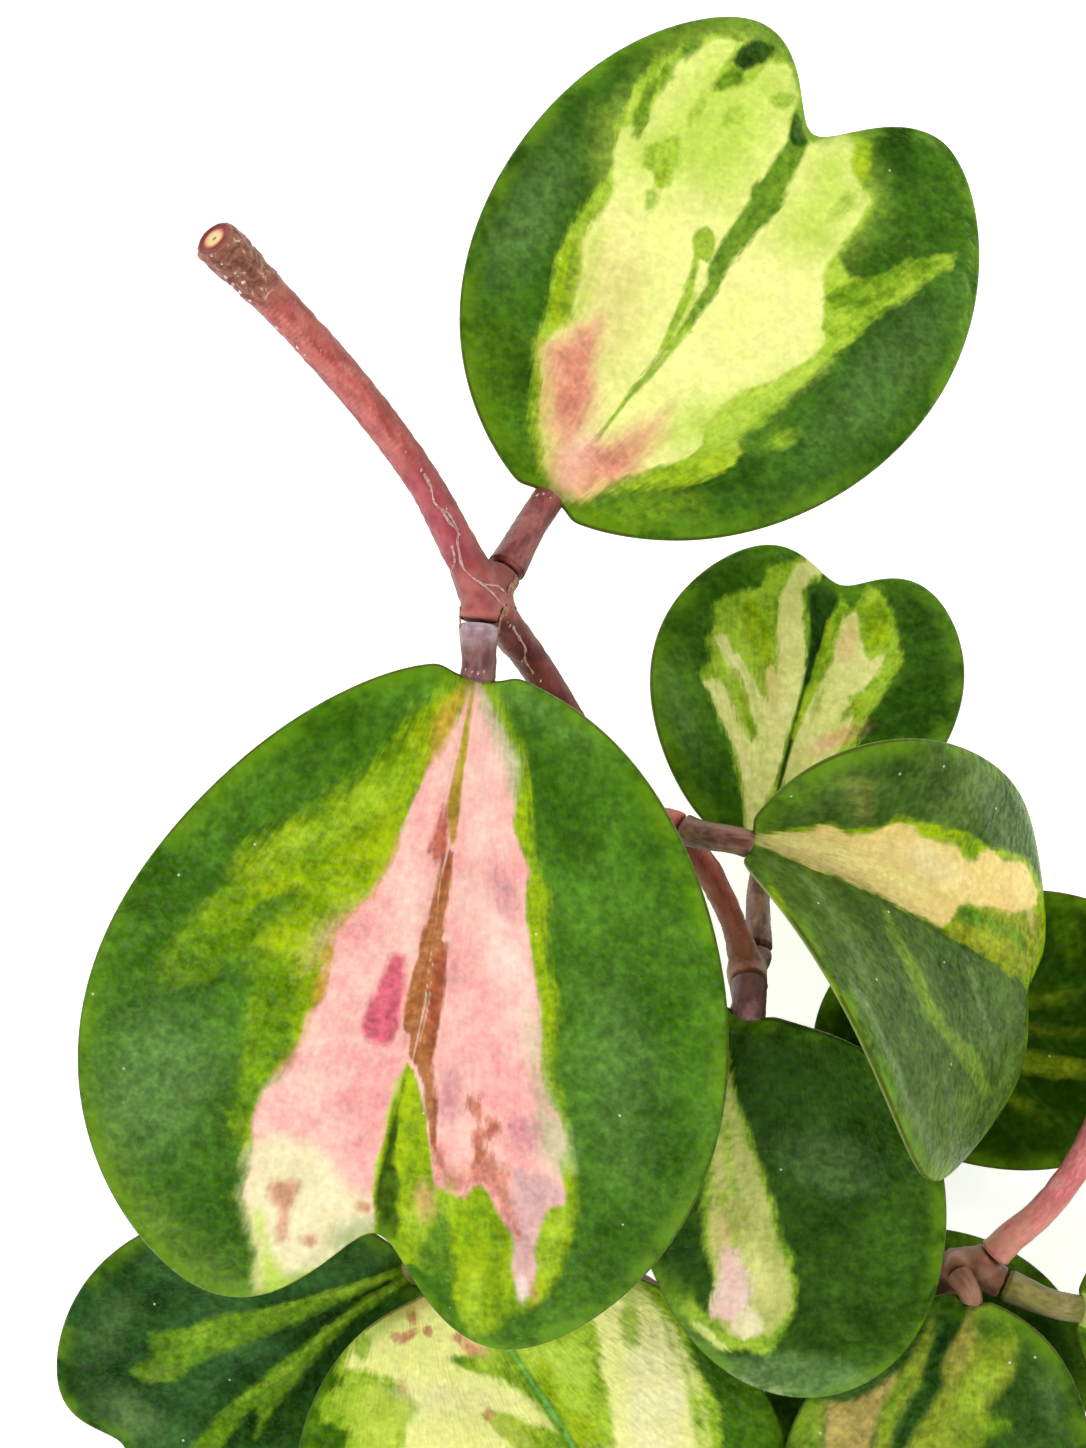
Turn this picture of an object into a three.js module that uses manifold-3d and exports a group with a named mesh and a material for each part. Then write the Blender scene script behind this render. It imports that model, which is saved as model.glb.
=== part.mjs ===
// A cut vine of a sweetheart hoya with eleven heart-shaped leaves, lying on a flat surface.
// Millimetres, +Z up. The surface is the plane z = 0, and the origin lies on it under the vine's middle.
// The woody stem runs from its trimmed upper end (far left, raised) down through the nodes, and side
// shoots leave it for the lower leaves. Each leaf is a stalk with its own joint at the stem, and a blade.

import * as THREE from "three";
import { mergeVertices } from "three/addons/utils/BufferGeometryUtils.js";
import Module from "manifold-3d";

const wasm = await Module();
wasm.setup();

// Driving dimensions of a blade.
const BLADE_HALF = 1.0; // half the thickness of a blade, away from its rim
const RIM_HALF = 0.45; // half the thickness left at the very rim
const RIM_START = 0.94; // share of the way from the blade's centre to its rim where the thinning starts
const CENTRE_SHARE = 0.45; // the blade's centre, as a share of its length from the stalk
const RINGS = [0.34, 0.66, RIM_START, 1.0];
const SPOKES = 44;
const CROWDING = 0.28; // how much closer the spokes stand at the stalk and at the notch

// Driving dimensions of the stems and of the joints between the pieces.
const JOINT_GAP = 0.3;
const STUB_ROOT = 1.2; // how far behind the node's middle a stub starts
const STEM_SIDES = 12;
const STALK_SIDES = 10;
const STEP_LENGTH = 2.6; // distance between the rings of a stem or stalk
const STEM_EDGE = 0.12; // how far the edge of a cut stem end is rounded, in radii
const STALK_EDGE = 0.35; // the same for the ends of a stalk

const COLOUR = {
  leafGreen: "#2f6b1e",
  stem: "#8a4a3c",
  runner: "#c4636a",
  stalk: "#7d4a44",
  greenStalk: "#9c9a6a",
};

// Each blade: where its stalk end lies, which way its midrib runs over the surface (degrees from +X,
// counterclockwise), how far the midrib climbs (pitch) and the blade leans to its right (roll), its length
// from stalk to lobe tips, its width as a share of the usual one, how steeply both halves rise from the
// midrib at the stalk and at the lobes, how much more they rise (cup) towards the rim, and how far the
// midrib bends down along its length (curl). Then the outline: waves gives the shares of the length by
// which its radius swells two, three and four times round, uneven those by which its right half differs
// from its left one once, twice and three times round, and notch the depth and half-width (degrees) of
// the notch between the lobes.
const BLADES = {
  blade_front: {
    base: [-35.9, 30.5, 44], heading: -100.9, pitch: -5, roll: 4, length: 95.4, width: 0.985,
    foldStalk: 14, foldLobes: 8, cup: 0, curl: 10,
    waves: [0.0265, 0.009, 0.003], uneven: [-0.004, -0.011, -0.002], notch: [0.206, 15],
  },
  blade_upper: {
    base: [-26.2, 55, 34.25], heading: 54.8, pitch: -22, roll: 2, length: 84.5, width: 0.917,
    foldStalk: 7, foldLobes: 2, cup: -7, curl: 2,
    waves: [0.048, -0.001, 0.002], uneven: [0.021, -0.009, -0.002], notch: [0.216, 14],
  },
  blade_back: {
    base: [5.9, 3.6, 15], heading: 74.2, pitch: -6, roll: -4, length: 45.3, width: 1.09,
    foldStalk: 22, foldLobes: 6, cup: -1, curl: 11,
    waves: [0.044, 0.005, 0.005], uneven: [-0.024, -0.007, 0.005], notch: [0.154, 16.5],
  },
  blade_folded: {
    base: [1, 6.5, 44], heading: -20.4, pitch: -11.3, roll: -20.8, length: 60.2, width: 1.02,
    foldStalk: 56, foldLobes: -1, cup: -24, curl: 41,
    waves: [0.028, 0.012, 0], uneven: [0.058, -0.033, -0.013], notch: [0.119, 14.5],
  },
  blade_right: {
    base: [14, -25.9, 5], heading: 5, pitch: 0, roll: 0, length: 53, width: 0.82,
    foldStalk: 8, foldLobes: 6, cup: -2, curl: 2,
    waves: [0.028, 0.012, 0], uneven: [-0.01, -0.01, 0], notch: [0.19, 14.5],
  },
  blade_middle: {
    base: [2.1, -16.3, 37.4], heading: -109.7, pitch: -18.4, roll: -7.6, length: 60.1, width: 1.218,
    foldStalk: 3, foldLobes: 5, cup: -4, curl: 5,
    waves: [0.014, 0.007, 0], uneven: [-0.095, 0.018, -0.032], notch: [0.331, 28.5],
  },
  blade_bottom: {
    base: [-39.8, -56.8, 14], heading: -60, pitch: -4.5, roll: -3, length: 64, width: 1.07,
    foldStalk: 8, foldLobes: 5, cup: -5, curl: 6,
    waves: [0, 0.012, 0], uneven: [0.1, 0.04, 0], notch: [0.19, 14.5],
  },
  blade_left: {
    base: [-46.5, -58.7, 9.2], heading: -147.8, pitch: -7.5, roll: 2, length: 56, width: 0.961,
    foldStalk: 8, foldLobes: 4, cup: -2, curl: 3,
    waves: [0.028, 0.012, 0], uneven: [0, -0.001, 0], notch: [0.13, 14.5],
  },
  blade_low_right: {
    base: [36.1, -61.4, 16.3], heading: -103, pitch: -8, roll: 4, length: 46, width: 1.0,
    foldStalk: 5, foldLobes: 4, cup: -4, curl: 4,
    waves: [0.028, 0.012, 0], uneven: [-0.03, -0.01, 0], notch: [0.19, 14.5],
  },
  blade_far_right: {
    base: [52.1, -63.7, 12], heading: -6, pitch: -11.5, roll: 0, length: 48, width: 0.98,
    foldStalk: 8, foldLobes: 4, cup: 0, curl: 6,
    waves: [0.028, 0.012, 0], uneven: [0, 0, 0], notch: [0.17, 14.5],
  },
  blade_under: {
    base: [8, -65.1, 3.4], heading: -31, pitch: -1, roll: 0, length: 48, width: 1.06,
    foldStalk: 2, foldLobes: 2, cup: 0, curl: 0,
    waves: [0.028, 0.012, 0], uneven: [-0.025, -0.015, 0], notch: [0.176, 14.5],
  },
};

// Blades whose lowest rim rests on the surface, on a small flat spot.
const RESTING = ["blade_upper", "blade_left", "blade_far_right"];

// The woody stem. Each run is a list of points on its axis with the radius there: x, y, z, radius.
const NODE_1 = [-35.2, 41.0, 43.5];
const NODE_2 = [-12.6, 9.1, 35.5];
const NODE_3 = [2, -12.1, 32];
const FORK = [-2.8, -66.2, 6.9];
const RIGHT_NODE = [35.6, -57.4, 11];
const LEFT_NODE = [-37.9, -49.8, 8.6];
const BACK_NODE = [9.3, -36.5, 5.5];

const STEM_RUNS = {
  upper: [
    [-71.1, 88.1, 61, 3.0], [-69.5, 86.5, 59, 3.15], [-66, 83.1, 56, 2.8], [-62.3, 79.4, 53.5, 2.7],
    [-58.6, 75.5, 51.5, 2.65], [-51.7, 67.6, 48.6, 2.55], [-43.7, 56.8, 46, 2.45],
    [-38.1, 46.5, 44.4, 2.7], [...NODE_1, 3.5], [-33.6, 38.4, 41.6, 3.0],
  ],
  middle: [
    [...NODE_1, 2.6], [-31.9, 36.3, 39.4, 2.6], [-28.6, 32, 37, 2.4], [-24.6, 25.7, 36.2, 2.35],
    [-19.7, 16.8, 35.8, 2.4], [...NODE_2, 2.9], [-5.2, 4.1, 34.5, 2.1], [-1.6, -1.6, 33.8, 1.9],
    [0, -5.2, 33.2, 1.8], [1.4, -9.5, 32.5, 2.2], [...NODE_3, 2.9], [2.6, -18, 27.5, 2.5],
    [2, -28.8, 20, 2.6], [0.9, -39.8, 14, 3.0], [-0.3, -52.4, 9.2, 2.8], [...FORK, 3.3],
    [-4.2, -75.4, 5.2, 2.9],
    [-5.8, -84.7, 4.3, 3.0],
  ],
  left: [[...FORK, 2.6], [-12.5, -61.8, 6.6, 2.4], [-24.5, -52.5, 7.2, 2.4], [...LEFT_NODE, 3.2]],
  right: [
    [...FORK, 2.6], [1.7, -69.3, 8, 2.5], [9.8, -70.3, 8.8, 2.4], [20.1, -67.4, 9.4, 2.4],
    [30.4, -61, 10.4, 2.7], [...RIGHT_NODE, 3.4],
  ],
  back: [[0.4, -46, 11.8, 2.2], [4.7, -42.2, 8, 2.3], [...BACK_NODE, 2.9]],
};

// Each stalk leaves its node on a short stub in the direction lead, has its joint there, and bends over to
// run into the edge of its blade. The radii are those at the joint and at the blade.
const STALKS = {
  stalk_front: {
    from: NODE_1, joint: [-35.8, 36.9, 45.7], lead: [-0.1, -1, 0.1], blade: "blade_front",
    radii: [2.75, 2.35], colour: COLOUR.stalk,
  },
  stalk_upper: {
    from: NODE_1, joint: [-32.3, 44.4, 42], lead: [0.45, 0.8, -0.45], blade: "blade_upper",
    radii: [2.6, 2.2], colour: COLOUR.stalk,
  },
  stalk_folded: {
    from: NODE_2, joint: [-7.4, 8.3, 39.2], lead: [0.85, -0.35, 0.4], blade: "blade_folded",
    radii: [2.1, 1.9], colour: COLOUR.stalk,
  },
  stalk_back: {
    from: NODE_3, joint: [3.9, -9.4, 28.4], lead: [0.05, 0.8, -0.6], blade: "blade_back",
    radii: [1.9, 1.7], colour: COLOUR.stalk,
  },
  stalk_middle: {
    from: NODE_3, joint: [2.1, -13.9, 34.9], lead: [0, -0.5, 0.85], blade: "blade_middle",
    radii: [2.6, 2.2], colour: COLOUR.stalk,
  },
  stalk_right: {
    from: BACK_NODE, joint: [11.2, -31.9, 5.2], lead: [0.3, 0.9, 0], blade: "blade_right",
    radii: [2.2, 1.9], colour: COLOUR.stalk,
  },
  stalk_bottom: {
    from: LEFT_NODE, joint: [-38, -53.4, 11.4], lead: [-0.1, -0.7, 0.7], blade: "blade_bottom",
    radii: [2.3, 2.0], colour: COLOUR.greenStalk,
  },
  stalk_left: {
    from: LEFT_NODE, joint: [-41.5, -52.6, 9], lead: [-0.8, -0.6, 0], blade: "blade_left",
    radii: [2.3, 2.0], colour: COLOUR.greenStalk,
  },
  stalk_low_right: {
    from: RIGHT_NODE, joint: [34.3, -58.2, 15.1], lead: [0.3, -0.6, 0.8], blade: "blade_low_right",
    radii: [2, 1.6], colour: COLOUR.greenStalk,
  },
  stalk_far_right: {
    from: RIGHT_NODE, joint: [41.4, -60, 12.2], lead: [0.9, -0.4, 0.1], blade: "blade_far_right",
    radii: [2.4, 2.0], colour: COLOUR.greenStalk,
  },
  stalk_under: {
    from: FORK, joint: [2.4, -65.7, 4.4], lead: [0.9, 0, -0.3], blade: "blade_under",
    radii: [1.9, 1.7], colour: COLOUR.greenStalk,
  },
};
const STALK_END_GAP = 0.5; // between the end of a stalk and the middle of the dip in its blade's edge
const BEND_HANDLE = 0.38; // how far a stalk or stub keeps its direction at its ends, as a share of its span
const STALK_REACH = 0.018; // the blade's edge dips in by this share of its length where the stalk ends
const STALK_DIP = 5.5; // half-width of that dip, in degrees about the blade's centre
const BASE_SWELL = 0.008; // the blade is this share of its length fuller on both sides of the stalk
const BASE_WIDTH = 16; // the half-width of that fuller part, in degrees; in it both halves are alike

// The young runner that leaves the right-hand node, with a closed bud at its tip.
const RUNNER = [
  [39.6, -55.5, 13.5, 2.5], [42.1, -52.8, 14.2, 2.3], [46, -49.4, 15, 2.2], [49.9, -44.9, 14.8, 2.15],
  [53.2, -39.8, 14.4, 2.1], [56.6, -31.6, 14.4, 2.0], [58.6, -26, 15, 2.3], [59.6, -23.2, 15.5, 1.4],
  [60.1, -21.6, 15.8, 0.5],
];

// Where the middle of the vine's outline lies in the coordinates used above.
const MIDDLE = [-0.385, 4.225];

const group = new THREE.Group();
group.position.set(-MIDDLE[0], -MIDDLE[1], 0);
const radians = THREE.MathUtils.degToRad;

// A bell that is 1 at an angle of zero and small beyond the given half-width, in degrees.
const bell = (angle, halfWidth, power) => Math.exp(-(Math.abs(angle / radians(halfWidth)) ** power));

// Distance from the blade's centre to its rim, as a share of its length. theta is 0 towards the stalk and
// half a turn towards the notch between the lobes.
function rimRadius(blade, theta) {
  const even = blade.waves.reduce((sum, share, i) => sum + share * Math.cos((i + 2) * theta), 0);
  const odd = blade.uneven.reduce((sum, share, i) => sum + share * Math.sin((i + 1) * theta), 0);
  const [depth, halfWidth] = blade.notch;
  const lobes = depth * bell(Math.PI - Math.abs(theta), halfWidth, 2);
  const stalkEnd = BASE_SWELL * bell(theta, BASE_WIDTH, 2) - STALK_REACH * bell(theta, STALK_DIP, 4);
  const awayFromStalk = 1 - bell(theta, BASE_WIDTH, 2);
  return 0.507 - 0.045 * Math.cos(theta) + even + odd * awayFromStalk - lobes + stalkEnd;
}

// The rim in the flat blade: x to the right of the midrib, y along it from the stalk.
function rimPoint(blade, theta) {
  const r = rimRadius(blade, theta) * blade.length;
  return [blade.width * r * Math.sin(theta), 0.502 * blade.length - r * Math.cos(theta)];
}

// Bends a point of the flat blade: both halves fold up about the midrib, which is rounded over a few
// millimetres, and then the whole blade curls along the midrib as an arc.
function bendPoint(blade, x, y) {
  const side = Math.abs(x) + 1e-9;
  const soft = 0.03 * blade.length;
  const along = THREE.MathUtils.clamp(y / blade.length, -0.1, 1.1);
  const fold = radians(THREE.MathUtils.lerp(blade.foldStalk, blade.foldLobes, along));
  const rounding = 1 - ((1 - Math.exp(-side / soft)) * soft) / side;
  const rise = fold * rounding + (radians(blade.cup) * side) / blade.length;
  const across = Math.sign(x) * side * Math.cos(rise);
  const up = side * Math.sin(rise);
  const arc = (radians(blade.curl) * y) / blade.length;
  const half = arc / 2;
  const chord = Math.abs(half) < 1e-6 ? y : (y * Math.sin(half)) / half;
  return new THREE.Vector3(
    across,
    chord * Math.cos(half) + up * Math.sin(arc),
    -chord * Math.sin(half) + up * Math.cos(arc),
  );
}

// The direction out of the blade's upper face, from two short steps along the surface.
function faceNormal(blade, x, y) {
  const step = 0.05;
  const dx = bendPoint(blade, x + step, y).sub(bendPoint(blade, x - step, y));
  const dy = bendPoint(blade, x, y + step).sub(bendPoint(blade, x, y - step));
  return dx.cross(dy).normalize();
}

// A blade as one closed mesh: rings and spokes about its centre, alike on both faces, and a rim strip.
function bladeGeometry(blade) {
  const centreY = CENTRE_SHARE * blade.length;
  const flat = [[0, centreY, BLADE_HALF]];
  for (const share of RINGS) {
    const half = share > RIM_START ? RIM_HALF : BLADE_HALF;
    for (let spoke = 0; spoke < SPOKES; spoke++) {
      const turn = (2 * spoke) / SPOKES - 1;
      const theta = Math.PI * turn - CROWDING * Math.sin(2 * Math.PI * turn);
      const [x, y] = rimPoint(blade, theta);
      flat.push([share * x, centreY + share * (y - centreY), half]);
    }
  }
  const positions = [];
  for (const side of [1, -1])
    for (const [x, y, half] of flat) {
      const point = bendPoint(blade, x, y).addScaledVector(faceNormal(blade, x, y), side * half);
      positions.push(point.x, point.y, point.z);
    }
  const top = (ring, spoke) => 1 + ring * SPOKES + (spoke % SPOKES);
  const below = flat.length;
  const index = [];
  const face = (a, b, c) => index.push(a, b, c, below + a, below + c, below + b);
  for (let spoke = 0; spoke < SPOKES; spoke++) {
    face(0, top(0, spoke), top(0, spoke + 1));
    for (let ring = 0; ring + 1 < RINGS.length; ring++) {
      const [a, b] = [top(ring, spoke), top(ring, spoke + 1)];
      const [c, d] = [top(ring + 1, spoke), top(ring + 1, spoke + 1)];
      face(a, c, d);
      face(a, d, b);
    }
    const [c, d] = [top(RINGS.length - 1, spoke), top(RINGS.length - 1, spoke + 1)];
    index.push(c, below + c, below + d, c, below + d, d);
  }
  return closedGeometry(positions, index);
}

function closedGeometry(positions, index) {
  const geometry = new THREE.BufferGeometry();
  geometry.setAttribute("position", new THREE.Float32BufferAttribute(positions, 3));
  geometry.setIndex(index);
  return geometry;
}

// A closed round bar along a curve, with the edges of both ends rounded. radiusAt gives the radius at a
// share of the curve's length.
function barGeometry(curve, radiusAt, sides, edgeRound) {
  const steps = Math.max(3, Math.round(curve.getLength() / STEP_LENGTH));
  const frames = curve.computeFrenetFrames(steps, false);
  const rings = [];
  for (let i = 0; i <= steps; i++)
    rings.push({ at: curve.getPointAt(i / steps), frame: i, radius: radiusAt(i / steps) });
  const roundEnd = (ring, outward) => {
    const tangent = frames.tangents[ring.frame];
    const edge = { at: ring.at.clone(), frame: ring.frame, radius: ring.radius * (1 - edgeRound) };
    ring.at.addScaledVector(tangent, -outward * edgeRound * ring.radius);
    return edge;
  };
  const first = roundEnd(rings[0], -1);
  const last = roundEnd(rings[steps], 1);
  const all = [first, ...rings, last];
  const positions = [];
  for (const ring of all)
    for (let side = 0; side < sides; side++) {
      const angle = (2 * Math.PI * side) / sides;
      const point = ring.at
        .clone()
        .addScaledVector(frames.normals[ring.frame], ring.radius * Math.cos(angle))
        .addScaledVector(frames.binormals[ring.frame], ring.radius * Math.sin(angle));
      positions.push(point.x, point.y, point.z);
    }
  const index = [];
  for (let ring = 0; ring + 1 < all.length; ring++)
    for (let side = 0; side < sides; side++) {
      const a = ring * sides + side;
      const b = ring * sides + ((side + 1) % sides);
      index.push(a, b, b + sides, a, b + sides, a + sides);
    }
  const end = (all.length - 1) * sides;
  for (let side = 1; side + 1 < sides; side++) {
    index.push(0, side + 1, side);
    index.push(end, end + side, end + side + 1);
  }
  return closedGeometry(positions, index);
}

function toSolid(geometry) {
  const merged = mergeVertices(geometry, 1e-4);
  return new wasm.Manifold(
    new wasm.Mesh({
      numProp: 3,
      vertProperties: merged.attributes.position.array,
      triVerts: new Uint32Array(merged.index.array),
    }),
  );
}

function fromSolid(solid) {
  const mesh = solid.getMesh();
  const geometry = new THREE.BufferGeometry();
  geometry.setAttribute("position", new THREE.BufferAttribute(mesh.vertProperties, 3));
  geometry.setIndex(new THREE.BufferAttribute(mesh.triVerts, 1));
  return geometry;
}

function addPiece(name, geometry, colour, roughness) {
  const material = new THREE.MeshStandardMaterial({ color: colour, roughness, metalness: 0 });
  const mesh = new THREE.Mesh(geometry, material);
  mesh.name = name;
  group.add(mesh);
  return mesh;
}

// How a blade lies: rolled about its midrib, pitched, then turned to its heading, about its stalk end.
function bladeMatrix(blade) {
  const turn = new THREE.Euler(
    radians(blade.pitch), radians(blade.roll), radians(blade.heading - 90), "ZXY",
  );
  const place = new THREE.Vector3(...blade.base);
  const rotation = new THREE.Quaternion().setFromEuler(turn);
  return new THREE.Matrix4().compose(place, rotation, new THREE.Vector3(1, 1, 1));
}

function addBlades() {
  const ground = toSolid(positionOnly(new THREE.BoxGeometry(600, 600, 20).translate(0, 0, -10)));
  for (const [name, blade] of Object.entries(BLADES)) {
    const mesh = addPiece(name, bladeGeometry(blade), COLOUR.leafGreen, 0.35);
    if (RESTING.includes(name)) {
      const laid = mesh.geometry.clone().applyMatrix4(bladeMatrix(blade));
      mesh.geometry = fromSolid(toSolid(laid).subtract(ground));
    } else {
      bladeMatrix(blade).decompose(mesh.position, mesh.quaternion, mesh.scale);
    }
  }
}

function positionOnly(geometry) {
  geometry.deleteAttribute("normal");
  geometry.deleteAttribute("uv");
  return geometry;
}

// A bar through points given as x, y, z, radius.
function runGeometry(points, sides, edgeRound) {
  const curve = new THREE.CatmullRomCurve3(
    points.map(([x, y, z]) => new THREE.Vector3(x, y, z)), false, "centripetal",
  );
  const radiusAt = (u) => {
    const t = curve.getUtoTmapping(u) * (points.length - 1);
    const i = Math.min(points.length - 2, Math.floor(t));
    return THREE.MathUtils.lerp(points[i][3], points[i + 1][3], THREE.MathUtils.smoothstep(t - i, 0, 1));
  };
  return barGeometry(curve, radiusAt, sides, edgeRound);
}

// A bar that leaves the point from along one direction and comes to the point to along another.
function bendGeometry(from, leaving, to, arriving, radii, sides, edgeRound) {
  const handle = BEND_HANDLE * from.distanceTo(to);
  const curve = new THREE.CubicBezierCurve3(
    from, from.clone().addScaledVector(leaving, handle), to.clone().addScaledVector(arriving, -handle), to,
  );
  return barGeometry(curve, (u) => THREE.MathUtils.lerp(...radii, u), sides, edgeRound);
}

// The stub that carries a branch: from inside its node to the gap before the joint.
function stubGeometry(branch) {
  const node = new THREE.Vector3(...branch.from);
  const lead = new THREE.Vector3(...branch.lead).normalize();
  const end = new THREE.Vector3(...branch.joint).addScaledVector(lead, -JOINT_GAP);
  const outward = end.clone().sub(node).normalize();
  const root = node.clone().addScaledVector(outward, -STUB_ROOT);
  const radius = branch.radii[0];
  return bendGeometry(root, outward, end, lead, [radius + 0.3, radius + 0.1], STEM_SIDES, STEM_EDGE);
}

// A stalk: from its joint, along lead, to the dip in the edge of its blade, where it runs along the midrib.
function stalkGeometry(stalk) {
  const blade = BLADES[stalk.blade];
  const lie = bladeMatrix(blade);
  const joint = new THREE.Vector3(...stalk.joint);
  const lead = new THREE.Vector3(...stalk.lead).normalize();
  const end = new THREE.Vector3(0, rimPoint(blade, 0)[1] - STALK_END_GAP, 0).applyMatrix4(lie);
  const inward = new THREE.Vector3(0, 1, 0).transformDirection(lie);
  return bendGeometry(joint, lead, end, inward, stalk.radii, STALK_SIDES, STALK_EDGE);
}

function addStems() {
  const runnerStub = {
    from: RIGHT_NODE,
    joint: RUNNER[0].slice(0, 3),
    lead: RUNNER[1].slice(0, 3).map((value, i) => value - RUNNER[0][i]),
    radii: [RUNNER[0][3]],
  };
  const runs = Object.values(STEM_RUNS).map((points) => runGeometry(points, STEM_SIDES, STEM_EDGE));
  const stubs = [...Object.values(STALKS), runnerStub].map(stubGeometry);
  const stem = [...runs, ...stubs].map(toSolid).reduce((joined, bar) => joined.add(bar));
  addPiece("vine_stem", fromSolid(stem), COLOUR.stem, 0.6);
  addPiece("pink_runner", runGeometry(RUNNER, STALK_SIDES, STALK_EDGE), COLOUR.runner, 0.5);
}

function addStalks() {
  for (const [name, stalk] of Object.entries(STALKS))
    addPiece(name, stalkGeometry(stalk), stalk.colour, 0.55);
}

addStems();
addStalks();
addBlades();

export default group;
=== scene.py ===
# %% [markdown]
# # A cut vine of a variegated sweetheart hoya
# The real thing is a climbing wax plant: a woody stem with swollen nodes, a short thick stalk for each
# leaf, and heart-shaped leaves two to three millimetres thick with a waxy skin. The middle of each leaf
# has lost its green, so it shows lime, cream and pink inside a dark green margin. The cut vine lies on
# a pale surface and the camera looks straight down on it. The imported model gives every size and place.

import bpy
import numpy as np
from mathutils import Matrix, Vector
from mathutils.bvhtree import BVHTree


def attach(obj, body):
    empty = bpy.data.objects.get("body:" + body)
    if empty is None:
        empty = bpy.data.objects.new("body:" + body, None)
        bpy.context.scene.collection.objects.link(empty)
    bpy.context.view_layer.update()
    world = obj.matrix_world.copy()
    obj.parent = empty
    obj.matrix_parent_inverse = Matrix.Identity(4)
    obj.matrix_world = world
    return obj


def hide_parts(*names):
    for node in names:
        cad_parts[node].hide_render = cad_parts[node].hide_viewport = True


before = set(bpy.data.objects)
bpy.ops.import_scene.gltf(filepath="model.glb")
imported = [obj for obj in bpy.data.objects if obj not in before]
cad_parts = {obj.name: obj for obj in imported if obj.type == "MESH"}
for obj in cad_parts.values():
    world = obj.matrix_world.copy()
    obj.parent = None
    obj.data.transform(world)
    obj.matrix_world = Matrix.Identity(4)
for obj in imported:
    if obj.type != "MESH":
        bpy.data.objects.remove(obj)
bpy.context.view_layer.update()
print("nodes in the packed model:", len(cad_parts))

# %% [markdown]
# ## Camera
# The photograph looks squarely at the vine from about half a metre, so the camera stands above the
# laid-down vine and looks straight down, with the top of the frame towards +Y. A lens of 85 mm on a
# 36 mm tall frame is a usual one for plants and keeps the leaves from looking stretched.

# %% Camera
MM = 0.001
SHIFT = np.array([0.385, -4.225, 0.0])  # from the vine's own coordinates to the middle of its outline
EYE = np.array([-27.0, 23.0, 519.0]) + SHIFT

lens = bpy.data.cameras.new("camera")
lens.lens = 85
lens.sensor_width = 36
lens.sensor_fit = "AUTO"
lens.clip_start = 0.01
camera = bpy.data.objects.new("camera", lens)
camera.location = EYE * MM
bpy.context.scene.collection.objects.link(camera)
bpy.context.scene.camera = camera
print("camera height in mm:", EYE[2])

# %% [markdown]
# ## Helpers for meshes
# Each surface below is worked out as whole numpy arrays: a grid of points with a row for each station
# along the piece and a column for each direction round it. The grid is closed by a point at either end.
# Making the faces is the same for every such grid, so it is written once.

# %% Mesh helpers
def unit(vectors):
    """Each vector divided by its own length."""
    return vectors / np.maximum(np.linalg.norm(vectors, axis=-1, keepdims=True), 1e-12)


def closed_grid(rows, first, last):
    """A grid of points (rows x columns x 3), closed round each row and with a pole at either end.

    Point r, c has the number 1 + r * columns + c. The first pole is point 0 and the last pole is the last
    point. A quad joins two neighbours of one row to the same two of the next row."""
    count, columns = rows.shape[:2]
    points = np.concatenate([first[None], rows.reshape(-1, 3), last[None]])
    here = 1 + np.arange(columns)
    after = 1 + (np.arange(columns) + 1) % columns
    step = (np.arange(count - 1) * columns)[:, None]
    quads = np.stack([here + step, after + step, after + step + columns, here + step + columns], -1)
    end = (count - 1) * columns
    fans = [
        np.stack([np.zeros(columns, int), after, here], -1),
        np.stack([np.full(columns, len(points) - 1), here + end, after + end], -1),
    ]
    return points, quads.reshape(-1, 4).tolist() + np.concatenate(fans).tolist()


def joined(parts):
    """Several meshes as one list of points and one list of faces."""
    points, faces, count = [], [], 0
    for some, some_faces in parts:
        points.append(some)
        faces += [[i + count for i in face] for face in some_faces]
        count += len(some)
    return np.concatenate(points), faces


def circles(across, up, sides):
    """For each station a circle of offsets: across times the cosine plus up times the sine."""
    angle = np.arange(sides) * 2 * np.pi / sides
    return np.cos(angle)[None, :, None] * across[:, None] + np.sin(angle)[None, :, None] * up[:, None]


def new_piece(name, points, faces, material):
    """A smooth mesh object from points in millimetres, at the origin, riding on the vine."""
    mesh = bpy.data.meshes.new(name)
    mesh.from_pydata(((points + SHIFT) * MM).tolist(), [], faces)
    mesh.polygons.foreach_set("use_smooth", np.ones(len(mesh.polygons), bool))
    mesh.materials.append(material)
    mesh.update()
    piece = bpy.data.objects.new(name, mesh)
    bpy.context.scene.collection.objects.link(piece)
    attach(piece, "root")
    return piece


def add_fields(piece, **fields):
    """Keeps one number, or one vector, for each point of a piece, for its material to read."""
    for name, values in fields.items():
        kind, key = ("FLOAT", "value") if values.ndim == 1 else ("FLOAT_VECTOR", "vector")
        field = piece.data.attributes.new(name, kind, "POINT")
        field.data.foreach_set(key, values.astype(np.float32).ravel())


def ripples(points, size, seed, waves=14):
    """Soft noise between about -1 and 1: the mean of sine waves about size long in many directions."""
    rng = np.random.default_rng(seed)
    turn = unit(rng.normal(size=(waves, 3)))
    length = size * rng.uniform(0.7, 1.5, waves)
    phase = rng.uniform(0, 2 * np.pi, waves)
    return np.sin(points @ (turn / length[:, None] * 2 * np.pi).T + phase).sum(-1) / np.sqrt(waves) * 0.9


def lengths_along(place):
    """How far each station of a path is from its start, measured along the path."""
    return np.concatenate([[0], np.cumsum(np.linalg.norm(np.diff(place, axis=0), axis=1))])


def mesh_points(mesh):
    """The points of a mesh as an array, in millimetres."""
    flat = np.zeros(len(mesh.vertices) * 3, np.float32)
    mesh.vertices.foreach_get("co", flat)
    return flat.reshape(-1, 3).astype(float) / MM


def mesh_faces(mesh):
    """The faces of a mesh, each as a list of point numbers."""
    return [list(polygon.vertices) for polygon in mesh.polygons]


def smooth(t):
    """Goes from 0 to 1 as t does, and starts and ends level."""
    t = np.clip(t, 0, 1)
    return t * t * (3 - 2 * t)


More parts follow.
